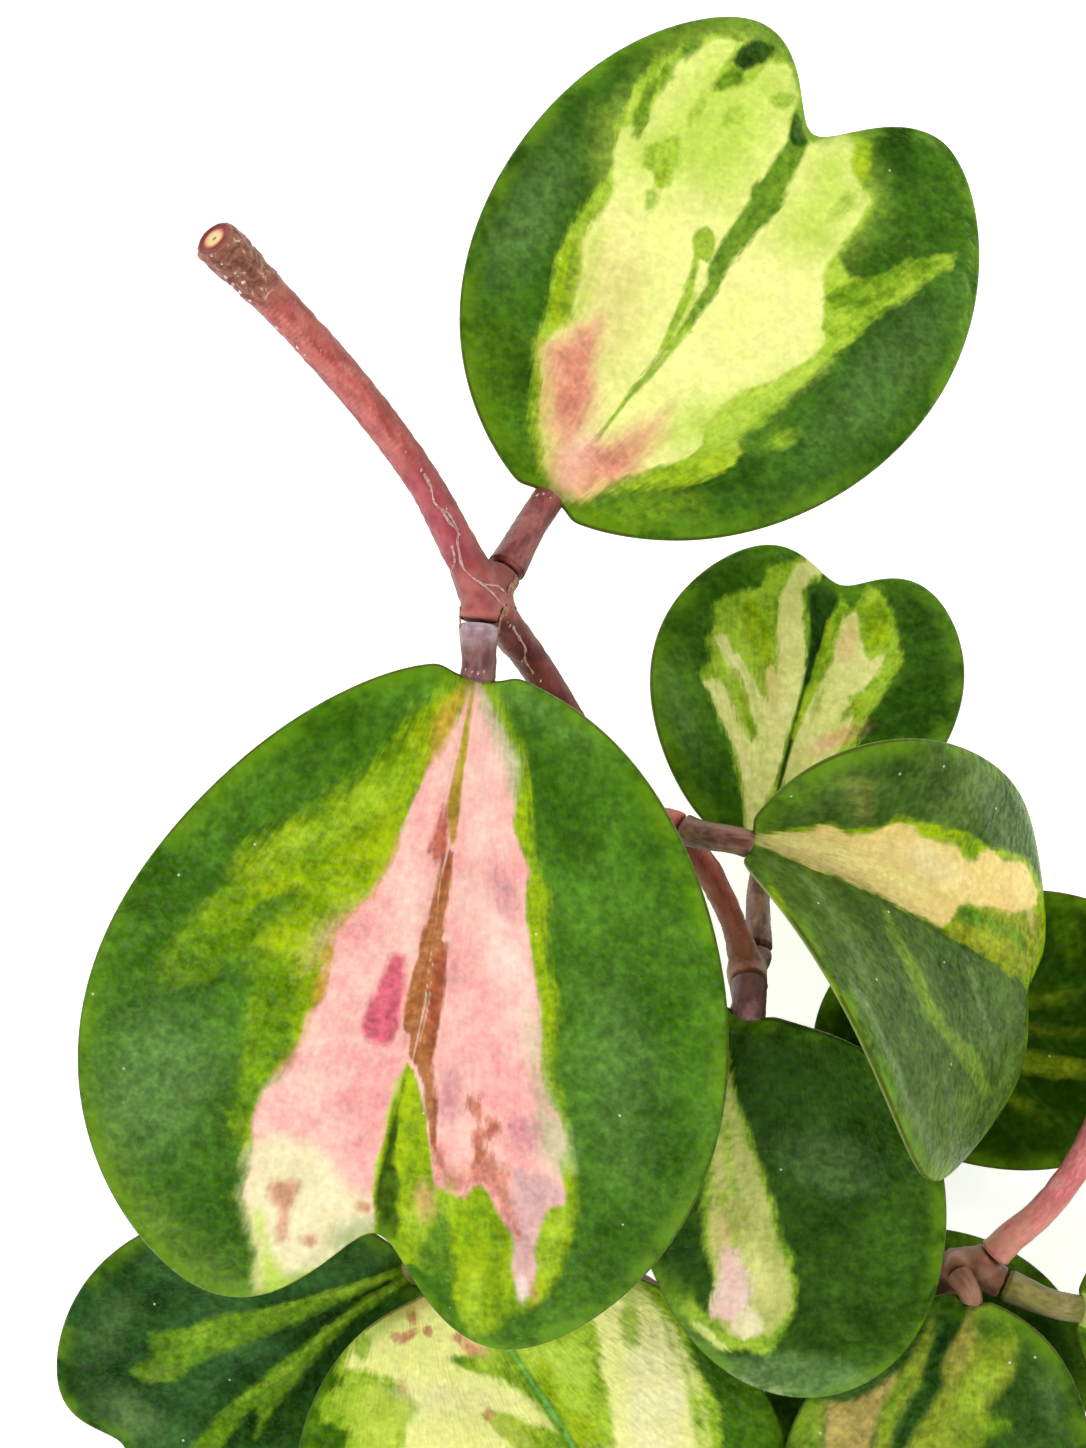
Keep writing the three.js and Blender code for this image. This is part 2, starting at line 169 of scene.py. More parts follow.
# %% [markdown]
# ## Helpers for materials
# A material is a small graph of nodes. These helpers add one node and wire it in one line: an input that
# is given another node's socket gets a link, and any other input gets a plain value.

# %% Material helpers
def colour(red, green, blue):
    """A colour as a screen shows it, 0 to 255, turned into the linear light that a shader works with."""
    c = np.array([red, green, blue]) / 255
    linear = np.where(c <= 0.04045, c / 12.92, ((c + 0.055) / 1.055) ** 2.4)
    return (*linear.tolist(), 1.0)


def feed(tree, sockets, values):
    """Gives each named or numbered socket a link from another node's socket, or a plain value."""
    for key, value in values.items():
        if isinstance(value, bpy.types.NodeSocket):
            tree.links.new(value, sockets[key])
        else:
            sockets[key].default_value = value


def add_node(tree, kind, inputs=None, **settings):
    """One node with its settings and its inputs."""
    made = tree.nodes.new(kind)
    for key, value in settings.items():
        setattr(made, key, value)
    feed(tree, made.inputs, inputs or {})
    return made


def add_math(tree, operation, *values):
    """One sum on numbers. The result is the node's only output."""
    return add_node(tree, "ShaderNodeMath", dict(enumerate(values)), operation=operation).outputs[0]


def add_mix(tree, share, a, b, blend="MIX"):
    """Goes from colour a to colour b as share goes from 0 to 1."""
    inputs = {0: share, 6: a, 7: b}
    return add_node(tree, "ShaderNodeMix", inputs, data_type="RGBA", blend_type=blend).outputs[2]


def add_range(tree, value, low, high, to_low=0.0, to_high=1.0, soft=True):
    """Maps low..high to to_low..to_high and keeps the result between them."""
    kind = "SMOOTHSTEP" if soft else "LINEAR"
    inputs = {0: value, 1: low, 2: high, 3: to_low, 4: to_high}
    return add_node(tree, "ShaderNodeMapRange", inputs, interpolation_type=kind).outputs[0]


def add_noise(tree, place, scale, detail=2.0, rough=0.5, distortion=0.0):
    """Soft noise between 0 and 1 at a place."""
    inputs = {"Vector": place, "Scale": scale, "Detail": detail, "Roughness": rough, "Distortion": distortion}
    return add_node(tree, "ShaderNodeTexNoise", inputs).outputs[0]


def add_cells(tree, place, scale):
    """Cells scattered evenly: the distance from the nearest cell's middle, and a colour for each cell."""
    return add_node(tree, "ShaderNodeTexVoronoi", {"Vector": place, "Scale": scale}).outputs


def stretched(tree, place, scale):
    """A place with each of its three numbers multiplied by its own scale."""
    return add_node(tree, "ShaderNodeVectorMath", {0: place, 1: scale}, operation="MULTIPLY").outputs[0]


def object_place(tree):
    """Where a point lies on the object, in metres."""
    return add_node(tree, "ShaderNodeTexCoord").outputs["Object"]


def new_group(name, inputs, outputs):
    """An empty node group with named sockets. Each entry is a name, a kind and a starting value."""
    tree = bpy.data.node_groups.new(name, "ShaderNodeTree")
    for label, kind, value in inputs:
        socket = tree.interface.new_socket(label, in_out="INPUT", socket_type="NodeSocket" + kind)
        if value is not None:
            socket.default_value = value
    for label, kind in outputs:
        tree.interface.new_socket(label, in_out="OUTPUT", socket_type="NodeSocket" + kind)
    return tree, tree.nodes.new("NodeGroupInput").outputs, tree.nodes.new("NodeGroupOutput").inputs


def use_group(tree, group, inputs):
    """Places a node group in a material, with its own values."""
    return add_node(tree, "ShaderNodeGroup", inputs, node_tree=group).outputs


def new_material(name):
    """A material with one Principled surface. Returns it with its node tree and that surface."""
    material = bpy.data.materials.new(name)
    material.use_nodes = True
    tree = material.node_tree
    return material, tree, tree.nodes["Principled BSDF"]


def read_field(tree, name, output="Fac"):
    """The number (Fac) or vector that a piece keeps under this name."""
    return add_node(tree, "ShaderNodeAttribute", attribute_name=name).outputs[output]


def finish_surface(tree, surface, tone, rough, height, strength, distance):
    """Gives a surface its colour, its roughness and a bump that is at most distance metres high."""
    bump = add_node(tree, "ShaderNodeBump", {"Height": height, "Strength": strength, "Distance": distance})
    feed(tree, surface.inputs, {"Base Color": tone, "Roughness": rough, "Normal": bump.outputs[0]})


# %% [markdown]
# ## The leaves' sizes
# Each leaf of the vine has its own size, heading and bend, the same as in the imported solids. The shape is
# a smooth closed curve about the leaf's middle, a notch between the two lobes, and a small dip where the
# stalk meets the edge. Both halves fold up from the midrib and the whole blade curls along it. What a
# leaf doesn't list is as on the usual leaf.

# %% The leaves' sizes, in millimetres and degrees
USUAL_LEAF = dict(
    pitch=0, roll=0, cup=0, curl=0,
    waves=(0.028, 0.012, 0), uneven=(0, 0, 0), notch=(0.19, 14.5), fuller=(0, 0))
OWN_SIZES = {
    "front": dict(
        base=(-35.9, 30.5, 44), heading=-100.9, pitch=-5, roll=4, length=95.4, width=0.985,
        fold=(14, 8), curl=10,
        waves=(0.0265, 0.009, 0.003), uneven=(-0.004, -0.011, -0.002), notch=(0.206, 15)),
    "upper": dict(
        base=(-26.2, 55, 34.25), heading=54.8, pitch=-22, roll=2, length=84.5, width=0.917,
        fold=(7, 2), cup=-7, curl=2,
        waves=(0.048, -0.001, 0.002), uneven=(0.021, -0.009, -0.002), notch=(0.216, 14)),
    "back": dict(
        base=(5.9, 3.6, 15), heading=74.2, pitch=-6, roll=-4, length=45.3, width=1.09,
        fold=(22, 6), cup=-1, curl=11,
        waves=(0.044, 0.005, 0.005), uneven=(-0.024, -0.007, 0.005), notch=(0.154, 16.5)),
    "folded": dict(
        base=(1, 6.5, 44), heading=-20.4, pitch=-11.3, roll=-20.8, length=60.2, width=1.02,
        fold=(56, -1), cup=-24, curl=41,
        uneven=(0.058, -0.033, -0.013), notch=(0.119, 14.5)),
    "right": dict(
        base=(14, -25.9, 5), heading=5, length=53, width=0.82,
        fold=(8, 6), cup=-2, curl=2,
        uneven=(-0.01, -0.01, 0)),
    "middle": dict(
        base=(2.1, -16.3, 37.4), heading=-109.7, pitch=-18.4, roll=-7.6, length=60.1, width=1.218,
        fold=(3, 5), cup=-4, curl=5,
        waves=(0.014, 0.007, 0), uneven=(-0.095, 0.018, -0.032), notch=(0.331, 28.5)),
    "bottom": dict(
        base=(-39.8, -56.8, 14), heading=-60, pitch=-4.5, roll=-3, length=64, width=1.07,
        fold=(8, 5), cup=-5, curl=6,
        waves=(0, 0.012, 0), uneven=(0.1, 0.04, 0), fuller=(-54, 0.07)),
    "left": dict(
        base=(-46.5, -58.7, 9.2), heading=-147.8, pitch=-7.5, roll=2, length=56, width=0.961,
        fold=(8, 4), cup=-2, curl=3,
        uneven=(0, -0.001, 0), notch=(0.13, 14.5)),
    "low_right": dict(
        base=(36.1, -61.4, 16.3), heading=-103, pitch=-8, roll=4, length=46, width=1.0,
        fold=(5, 4), cup=-4, curl=4,
        uneven=(-0.03, -0.01, 0)),
    "far_right": dict(
        base=(52.1, -63.7, 12), heading=-6, pitch=-11.5, length=48, width=0.98,
        fold=(8, 4), curl=6,
        notch=(0.17, 14.5)),
    "under": dict(
        base=(8, -65.1, 3.4), heading=-31, pitch=-1, length=48, width=1.06,
        fold=(2, 2),
        uneven=(-0.025, -0.015, 0), notch=(0.176, 14.5)),
}
LEAVES = {name: {**USUAL_LEAF, **own} for name, own in OWN_SIZES.items()}


def bell(angle, half_width, power):
    """1 at an angle of zero and small beyond the half-width, which is in degrees."""
    return np.exp(-(np.abs(angle / np.radians(half_width)) ** power))


def rim_point(leaf, theta):
    """The flat leaf's rim. theta is 0 towards the stalk and half a turn towards the notch.

    The radius is a constant and a few cosines and sines, less a bell for the notch and one for the stalk,
    and more by a bell where the leaf is fuller than its solid."""
    even = sum(share * np.cos((i + 2) * theta) for i, share in enumerate(leaf["waves"]))
    odd = sum(share * np.sin((i + 1) * theta) for i, share in enumerate(leaf["uneven"]))
    lobes = leaf["notch"][0] * bell(np.pi - np.abs(theta), leaf["notch"][1], 2)
    near_stalk = bell(theta, 16, 2)
    stalk_end = 0.008 * near_stalk - 0.018 * bell(theta, 5.5, 4)
    fullness = leaf["fuller"][1] * bell(theta - np.radians(leaf["fuller"][0]), 24, 2)
    share = 0.507 - 0.045 * np.cos(theta) + even + odd * (1 - near_stalk) - lobes + stalk_end + fullness
    r = share * leaf["length"]
    return leaf["width"] * r * np.sin(theta), 0.502 * leaf["length"] - r * np.cos(theta)


def bend(leaf, x, y):
    """Where a point of the flat leaf comes to lie: folded up about the midrib, then curled along it.

    The halves rise by an angle that grows over a few millimetres beside the midrib. The curl lays the
    midrib on an arc of a circle, and a point above the midrib turns with it."""
    length = leaf["length"]
    side = np.abs(x) + 1e-9
    soft = 0.03 * length
    along = np.clip(y / length, -0.1, 1.1)
    fold = np.radians(leaf["fold"][0] + (leaf["fold"][1] - leaf["fold"][0]) * along)
    rounding = 1 - (1 - np.exp(-side / soft)) * soft / side
    rise = fold * rounding + np.radians(leaf["cup"]) * side / length
    across = np.sign(x) * side * np.cos(rise)
    up = side * np.sin(rise)
    arc = np.radians(leaf["curl"]) * y / length
    chord = y * np.sinc(arc / 2 / np.pi)
    forward = chord * np.cos(arc / 2) + up * np.sin(arc)
    return np.stack([across, forward, -chord * np.sin(arc / 2) + up * np.cos(arc)], -1)


def lay_turn(leaf):
    """The turn that lays a leaf: rolled about its midrib, pitched, then turned to its heading."""
    p, q, h = np.radians([leaf["pitch"], leaf["roll"], leaf["heading"] - 90])
    about_x = np.array([[1, 0, 0], [0, np.cos(p), -np.sin(p)], [0, np.sin(p), np.cos(p)]])
    about_y = np.array([[np.cos(q), 0, np.sin(q)], [0, 1, 0], [-np.sin(q), 0, np.cos(q)]])
    about_z = np.array([[np.cos(h), -np.sin(h), 0], [np.sin(h), np.cos(h), 0], [0, 0, 1]])
    return about_z @ about_x @ about_y


print("leaves:", len(LEAVES), "longest in mm:", max(leaf["length"] for leaf in LEAVES.values()))

# %% [markdown]
# ## The leaves' relief
# A real blade isn't a flat plate: the midrib lies in a shallow groove on top and stands out below, side
# veins dent the skin a little, the surface rolls softly between them, and the rim is rounded like the
# edge of a thick cushion of wax. All of it is a sum of simple terms added along the blade's own normal.

# %% Relief and mesh of a leaf
BLADE_HALF = 1.0  # half the blade's thickness, in millimetres
RIM_STEPS = np.array([3.0, 2.4, 1.9, 1.45, 1.05, 0.72, 0.46, 0.26, 0.12, 0.03])
SIDE_VEINS = 6.5  # pairs of side veins along the leaf
VEIN_SLANT = 0.75  # how far a side vein runs on towards the notch for its length across
PROBE = 0.05  # half the step that the blade's slope is measured over


def vein_wave(u, v):
    """1 along each side vein and down to -1 halfway between two: a sine across slanted lines."""
    return np.sin(2 * np.pi * SIDE_VEINS * (v - VEIN_SLANT * np.abs(u)) + 1.3 * np.sign(u))


def relief_above(leaf, x, y, rim):
    """Height in millimetres over the plain blade: midrib groove, side veins, soft rolls, raised rim."""
    u, v = x / leaf["length"], y / leaf["length"]
    inside = smooth(rim / 4)
    fade = smooth((1.0 - v) / 0.35) * smooth((v + 0.02) / 0.05)
    groove = -0.42 * np.exp(-((x / 0.85) ** 2)) + 0.16 * np.exp(-(((np.abs(x) - 2.4) / 1.5) ** 2))
    side_veins = -0.1 * np.exp((vein_wave(u, v) - 1) / 0.22) * smooth(np.abs(u) / 0.06)
    seed = int(leaf["length"] * 10)
    flat = np.stack([x, y, np.zeros_like(x)], -1)
    rolls = 0.22 * ripples(flat, 26, seed) + 0.08 * ripples(flat, 9, seed + 1)
    return (groove * fade + side_veins + rolls) * inside


def relief_below(leaf, x, y, rim):
    """Height in millimetres under the plain blade: the midrib stands out as a ridge that fades out."""
    v = y / leaf["length"]
    fade = smooth((0.95 - v) / 0.6) * smooth((v + 0.02) / 0.05)
    return 0.55 * np.exp(-((x / 1.5) ** 2)) * fade * smooth(rim / 3)


def leaf_grid(leaf, spokes, rings):
    """A leaf as one closed grid: from its middle over the top to the rim, and back underneath.

    A row is a ring round the leaf's middle and a column is a spoke. Near the rim the rings keep given
    distances from it, and the half thickness there follows a quarter of an ellipse. Returns the points,
    the faces and, for each point, the flat x and y, the distance from the rim and whether it is below."""
    length = leaf["length"]
    turn = 2 * np.arange(spokes) / spokes - 1
    theta = np.pi * turn - 0.28 * np.sin(2 * np.pi * turn)
    rim_x, rim_y = rim_point(leaf, theta)
    middle_y = 0.45 * length
    ray = np.stack([rim_x, rim_y - middle_y], -1)
    reach = np.linalg.norm(ray, axis=-1)
    along_rim = unit(np.roll(ray, -1, 0) - np.roll(ray, 1, 0))
    square = np.abs(ray[:, 0] * along_rim[:, 1] - ray[:, 1] * along_rim[:, 0]) / reach
    square = np.clip(square, 0.35, 1)
    near = 1 - RIM_STEPS[:, None] / (square * reach)
    far = (np.arange(1, rings + 1) / (rings + 1))[:, None] * near[0]
    shares = np.concatenate([far, near])
    rim = (1 - shares) * square * reach
    edge = 0.5 * np.sqrt(1 - (1 - np.clip(rim / 0.5, 0, 1)) ** 2) + 0.5 * smooth(rim / 3)
    x = shares * rim_x
    y = middle_y + shares * (rim_y - middle_y)
    x = np.concatenate([x, rim_x[None], x[::-1]])
    y = np.concatenate([y, rim_y[None], y[::-1]])
    rim = np.concatenate([rim, np.zeros((1, spokes)), rim[::-1]])
    count = len(shares)
    half = BLADE_HALF * np.concatenate([edge, np.zeros((1, spokes)), -edge[::-1]])
    below = np.concatenate([np.zeros(count), [0.5], np.ones(count)])[:, None] * np.ones(spokes)
    flat_x = np.concatenate([[0], x.ravel(), [0]])
    flat_y = np.concatenate([[middle_y], y.ravel(), [middle_y]])
    far_in = reach.min()
    rim = np.concatenate([[far_in], rim.ravel(), [far_in]])
    half = np.concatenate([[BLADE_HALF], half.ravel(), [-BLADE_HALF]])
    below = np.concatenate([[0], below.ravel(), [1]])
    across = bend(leaf, flat_x + PROBE, flat_y) - bend(leaf, flat_x - PROBE, flat_y)
    forward = bend(leaf, flat_x, flat_y + PROBE) - bend(leaf, flat_x, flat_y - PROBE)
    normal = unit(np.cross(across, forward))
    above = relief_above(leaf, flat_x, flat_y, rim)
    height = half + above * (1 - below) + (0.5 * above - relief_below(leaf, flat_x, flat_y, rim)) * below
    points = bend(leaf, flat_x, flat_y) + normal * height[:, None]
    points = points @ lay_turn(leaf).T + np.array(leaf["base"])
    points[:, 2] = np.maximum(points[:, 2], 0)
    rows = points[1:-1].reshape(-1, spokes, 3)
    points, faces = closed_grid(rows, points[0], points[-1])
    return points, faces, flat_x, flat_y, rim, below


# %% [markdown]
# ## The variegation
# On the real leaf each cell line either makes green or doesn't, so the colours meet in ragged tongues that
# run the way the leaf grew, outwards from the stalk. Painting an image would be one way. Here each colour
# is a zone on the flat leaf: a closed outline, a spot or a line, in thousandths of the leaf's length. Every
# point of the mesh keeps how deep it lies inside each zone, and the material moves that depth with noise
# that is stretched along the growth, which gives the tongues at any size.

# %% Zones of colour, each paint with a light and a dark tone
PAINTS = {
    "moss": ((172, 196, 10), (118, 154, 0)),
    "lime": ((184, 214, 58), (116, 158, 14)),
    "leek": ((114, 154, 8), (76, 124, 0)),
    "olive": ((158, 166, 40), (112, 130, 12)),
    "pale_lime": ((206, 230, 92), (182, 214, 60)),
    "cream": ((251, 249, 158), (242, 246, 140)),
    "sand": ((230, 206, 132), (204, 184, 108)),
    "pink": ((253, 206, 188), (248, 168, 162)),
    "rose": ((246, 178, 170), (236, 140, 138)),
    "salmon": ((238, 180, 138), (226, 154, 116)),
    "magenta": ((220, 104, 120), (208, 90, 108)),
    "brick": ((206, 112, 84), (178, 88, 62)),
    "rust": ((210, 134, 108), (184, 104, 78)),
    "brown": ((196, 128, 78), (158, 96, 48)),
    "lilac": ((224, 176, 172), (196, 160, 158)),
    "mist": ((196, 202, 150), (160, 176, 126)),
    "green": ((92, 138, 30), (56, 104, 10)),
    "deep": ((38, 80, 4), (14, 46, 0)),
    "white": ((252, 236, 222), (244, 222, 204)),
    "tan": ((206, 172, 62), (178, 140, 44)),
    "pale_pink": ((252, 222, 202), (248, 202, 184)),
    "plum": ((226, 158, 160), (208, 138, 144)),
    "umber": ((176, 92, 62), (148, 70, 44)),
    "cream_white": ((248, 238, 192), (238, 224, 170)),
    "straw": ((246, 242, 164), (226, 226, 128)),
    "straw2": ((240, 218, 138), (226, 200, 116)),
    "straw3": ((206, 208, 118), (182, 190, 92)),
    "straw4": ((244, 242, 186), (236, 230, 160)),
    "fern": ((126, 152, 48), (98, 128, 30)),
    "fern2": ((118, 158, 22), (84, 128, 6)),
    # painted sheen: a pale grey-green wash where the waxy skin would mirror a lamp
    "painted_sheen": ((124, 160, 92), (98, 138, 70)),
    # painted sheen, greyer: a wash where a steep face would mirror the light
    "painted_grey_sheen": ((126, 146, 98), (104, 126, 76)),
    "sage": ((120, 190, 96), (96, 168, 74)),
    "coral": ((234, 154, 132), (220, 134, 114)),
    "lime2": ((208, 226, 84), (172, 198, 50)),
    "moss2": ((150, 164, 46), (116, 138, 20)),
    "tan2": ((186, 168, 92), (160, 140, 66)),
    "olive2": ((122, 140, 22), (94, 114, 8)),
}

# For each leaf its two greens, and its zones from the lowest up: paint, how far noise moves the edge,
# how soft the edge is, how strong the paint is, and the shape. A shape in square brackets is an outline
# from corner to corner, u and v in turn. Where one more number, a half width, stands first, it is a line.
# One in round brackets is a spot: its middle's u and v, half width, half length and tilt in degrees. All
# are in thousandths of the leaf's length: u is to the right of the midrib and v runs from the stalk
# towards the notch.
ZONES = {
    "front": (((80, 128, 28), (52, 96, 4)), [
        ("deep", 20, 60, 0.35, (-366, 778, 79, 121, -12)),
        ("fern", 20, 50, 0.5, [468, 762, 399, 880, 295, 978, 149, 1020, 173, 983, 271, 933, 374, 844,
            451, 728]),
        ("moss", 24, 24, 0.95, [6, -8, 68, 65, 123, 164, 191, 239, 231, 264, 267, 297, 287, 325, 299, 357,
            292, 382, 317, 406, 347, 448, 368, 498, 362, 519, 322, 509, 265, 451, 236, 458, 240, 485,
            228, 521, 242, 544, 229, 568, 238, 718, 203, 792, 211, 834, 176, 909, 154, 988, 134, 1035,
            5, 872, -34, 187]),
        ("moss", 12, 12, 0.95, [10, -13, -26, 17, -83, 94, -116, 169, -122, 212, -135, 247, -174, 305,
            -180, 379, -213, 454, -217, 506, -229, 557, -272, 662, -299, 749, -295, 798, -275, 894,
            -196, 964, -166, 973, -137, 940, -129, 893, -108, 907, -74, 896, -31, 865, -31, 648, -7, 43]),
        ("pink", 8, 5, 1, [8, -2, 12, 47, 20, 81, 51, 156, 78, 306, 99, 355, 133, 402, 141, 431, 136, 448,
            147, 470, 139, 518, 159, 550, 159, 580, 171, 613, 204, 665, 208, 689, 210, 721, 202, 760,
            201, 800, 206, 833, 187, 870, 160, 948, 157, 1005, 90, 1027, 16, 915, 2, 873, -1, 655, -31, 648,
            -77, 770, -124, 775, -137, 749, -153, 751, -189, 791, -213, 808, -219, 827, -212, 853,
            -240, 910, -248, 892, -252, 850, -243, 820, -244, 788, -253, 755, -277, 741, -256, 682,
            -263, 657, -248, 622, -224, 597, -209, 555, -182, 454, -132, 307, -136, 272, -101, 217,
            -80, 117]),
        ("lime", 12, 20, 0.7, [72, 121, 94, 163, 133, 195, 160, 234, 263, 317, 265, 338, 208, 308, 150, 262,
            100, 209, 68, 169, 56, 130]),
        ("lime", 12, 14, 0.5, [159, 418, 215, 481, 229, 514, 209, 518]),
        ("green", 12, 12, 0.95, [272, 424, 260, 396, 203, 358, 192, 375, 243, 432, 261, 447]),
        ("leek", 16, 18, 0.95, [239, 458, 204, 464, 170, 527, 172, 605, 223, 727, 242, 711, 233, 615]),
        ("leek", 12, 20, 0.8, [288, 360, 318, 398, 376, 491, 366, 528, 314, 512, 244, 424]),
        ("leek", 12, 20, 0.5, (173, 299, 13, 55, -55)),
        ("leek", 14, 20, 0.6, (208, 396, 15, 48, -55)),
        ("green", 24, 30, 0.65, (347, 491, 21, 44, -43)),
        ("mist", 12, 12, 0.85, [-4, 26, -24, 40, -86, 116, -91, 177, -76, 163, -65, 128, -15, 56]),
        ("tan", 8, 12, 0.9, [11, 11, 45, 65, 54, 99, 51, 121, 60, 172, 28, 113, 11, 38]),
        ("rose", 12, 12, 0.85, [-11, 95, -28, 98, -61, 159, -54, 178, -8, 121]),
        ("rose", 12, 20, 0.9, (-35, 280, 21, 19, 64)),
        ("rose", 12, 20, 0.7, (36, 279, 15, 22, 26)),
        ("rose", 14, 30, 0.6, (-76, 389, 24, 89, 17)),
        ("rose", 14, 30, 0.6, (44, 655, 46, 80, 22)),
        ("rose", 14, 30, 0.6, (123, 412, 21, 46, -40)),
        ("rose", 14, 20, 0.8, (-145, 590, 33, 52, 28)),
        ("white", 14, 30, 0.6, (-119, 409, 20, 61, 28)),
        ("pale_pink", 14, 30, 0.7, (43, 361, 21, 94, -6)),
        ("pale_pink", 14, 30, 0.7, (-46, 229, 21, 89, 5)),
        ("plum", 12, 16, 0.85, (-105, 311, 16, 43, 32)),
        ("plum", 12, 16, 0.9, (-76, 623, 18, 43, 4)),
        ("plum", 14, 20, 0.8, (-201, 653, 27, 35, 85)),
        ("plum", 12, 16, 0.5, (-50, 456, 13, 36, 15)),
        ("mist", 14, 20, 0.7, [-170, 472, -195, 512, -214, 569, -236, 609, -268, 647, -278, 684, -262, 699,
            -233, 685, -191, 567]),
        ("lilac", 12, 10, 0.9, [-190, 708, -236, 703, -272, 722, -275, 740, -253, 754, -244, 788, -243, 828,
            -252, 850, -245, 899, -226, 882, -213, 850, -215, 820, -191, 771]),
        ("rust", 16, 12, 0.8, [-68, 701, -104, 742, -123, 725, -131, 703, -165, 700, -191, 719, -193, 747,
            -223, 810, -209, 806, -168, 760, -151, 749, -135, 747, -123, 772, -79, 768]),
        ("rust", 18, 6, 0.9, [-98, 612, -129, 631, -160, 639, -166, 659, -141, 689, -137, 708, -113, 673,
            -129, 653, -110, 637]),
        ("umber", 14, 8, 0.6, (-148, 655, 15, 19, 86)),
        ("umber", 14, 8, 0.6, (-132, 687, 9, 19, 25)),
        ("cream_white", 14, 20, 1, [203, 758, 173, 738, 117, 743, 49, 804, 15, 814, 2, 873, 38, 969,
            155, 1021, 161, 943, 206, 833]),
        ("pale_lime", 10, 14, 0.9, [189, 854, 173, 863, 152, 922, 116, 957, 60, 926, 4, 877, 41, 953,
            155, 1021, 161, 943]),
        ("mist", 14, 16, 0.7, (36, 867, 18, 32, -62)),
        ("rust", 10, 9, 0.75, [161, 802, 125, 801, 119, 819, 132, 847, 127, 895, 141, 904, 150, 881,
            149, 850, 172, 827]),
        ("rust", 10, 7, 0.7, (97, 893, 11, 16, 81)),
        ("rust", 8, 6, 0.8, (25, 826, 7, 9, 81)),
        ("magenta", 6, 9, 1, [49, 434, 31, 436, 23, 465, 19, 546, 29, 568, 45, 577, 79, 558, 63, 475]),
        ("brick", 12, 6, 0.9, [17, 210, 12, 186, -5, 272, 12, 289, 24, 276]),
        ("tan", 4, 3, 0.95, [8, -2, 5, 68, 10, 199, -5, 257, -15, 259, 1, 15]),
        ("olive", 4, 3, 0.7, [2.3, 8, -2, 2, 67, 0, 119, -3, 171, -6, 215]),
        ("brown", 6, 3, 1, [-7, 268, 4, 316, 18, 510, 13, 540, 0, 555, -4, 583, -16, 592, -34, 623,
            -65, 718, -71, 716, -62, 656, -41, 583, -43, 543, -35, 445, -29, 408, -21, 399, -20, 311,
            -14, 267]),
        ("umber", 8, 6, 0.9, [-17, 411, -28, 402, -37, 452, -41, 551, -35, 578, -24, 540]),
        ("umber", 8, 4, 0.7, [5.8, -6, 280, -6, 321, -5, 357]),
        ("umber", 6, 4, 0.6, [3.8, -41, 583, -55, 634, -65, 702]),
        ("tan", 8, 4, 0.8, [3.5, 72, 260, 74, 283, 81, 314, 97, 357, 125, 394, 139, 424]),
        ("tan", 10, 5, 0.85, [137, 419, 157, 461, 143, 471, 159, 492, 151, 537, 139, 519, 133, 448]),
        ("tan", 8, 6, 0.5, [3.5, 153, 540, 157, 580, 188, 639]),
        ("white", 2, 1.5, 0.55, [1.0, -6, 246, -2, 315, -7, 374, -9, 435, -14, 496, -12, 558, -10, 609]),
        ("white", 2, 1.5, 0.4, [0.9, -14, 434, -20, 494, -16, 557]),
        ("moss", 6, 3, 1, [-4, 594, 9, 657, 16, 753, 14, 801, -1, 872, -41, 905, -82, 893, -78, 772,
            -34, 634, -18, 604]),
        ("deep", 8, 6, 0.9, [-3, 623, 4, 668, 8, 781, 7, 816, -5, 875, -35, 867, -38, 840, -27, 811,
            -24, 776, -10, 751]),
        ("pale_lime", 6, 4, 0.6, [2.3, 5, 621, 13, 677, 17, 738, 14, 801]),
        ("leek", 14, 12, 0.6, (-34, 710, 9, 54, 0)),
        ("lime", 14, 12, 0.75, (-61, 839, 18, 31, 21)),
        ("salmon", 14, 14, 0.55, (-69, 793, 15, 25, 17)),
        ("lime", 14, 14, 0.8, (-168, 928, 16, 43, -1)),
        ("lime", 14, 14, 0.6, (-98, 789, 14, 26, 0)),
        ("green", 14, 10, 0.9, [-76, 872, -81, 835, -96, 813, -133, 881, -128, 916, -96, 911, -71, 896]),
        ("leek", 14, 14, 0.6, (-182, 838, 17, 69, 23)),
        ("green", 14, 16, 0.7, (-217, 920, 13, 31, -43)),
        ("lime", 12, 12, 0.7, [-258, 764, -286, 746, -286, 800, -271, 872, -257, 844, -254, 801]),
        ("white", 6, 6, 0.9, (-236, 887, 9, 20, 14)),
        ("rust", 8, 6, 0.6, (-255, 887, 5, 16, 16)),
        # painted sheen on the left flank, near the base and on the right flank
        ("painted_sheen", 10, 50, 0.4, (355, 673, 77, 112, -6)),
        ("painted_sheen", 10, 30, 0.35, (-84, 27, 15, 71, 71)),
        ("painted_sheen", 10, 40, 0.25, (-322, 540, 59, 133, 17)),
    ]),
    "upper": (((70, 116, 18), (40, 80, 0)), [
        ("lime", 14, 9, 1, [-9, 2, -47, 26, -127, 120, -177, 220, -205, 304, -234, 364, -250, 487,
            -252, 587, -282, 638, -288, 678, -309, 746, -303, 804, -280, 865, -247, 926, -229, 932,
            -200, 968, -187, 964, -196, 925, -193, 902, -164, 909, -143, 965, -118, 977, -84, 959, -61, 940,
            -47, 913, -34, 885, -39, 861, -26, 847, 0, 859, 3, 878, 43, 933, 76, 933, 98, 921, 119, 904,
            132, 858, 154, 838, 162, 818, 159, 714, 172, 699, 202, 686, 236, 702, 266, 780, 292, 810,
            319, 839, 332, 829, 274, 646, 272, 607, 249, 520, 227, 381, 205, 315, 204, 283, 218, 270,
            224, 240, 210, 205, 183, 167, 130, 119, 40, 21, 12, -4]),
        ("cream", 10, 5, 1, [-7, 9, -50, 47, -82, 89, -160, 210, -157, 285, -180, 363, -206, 413, -220, 464,
            -217, 502, -222, 537, -267, 613, -276, 652, -252, 683, -269, 834, -260, 869, -235, 921,
            -196, 961, -201, 908, -198, 857, -187, 825, -151, 870, -136, 953, -111, 967, -82, 948, -53, 908,
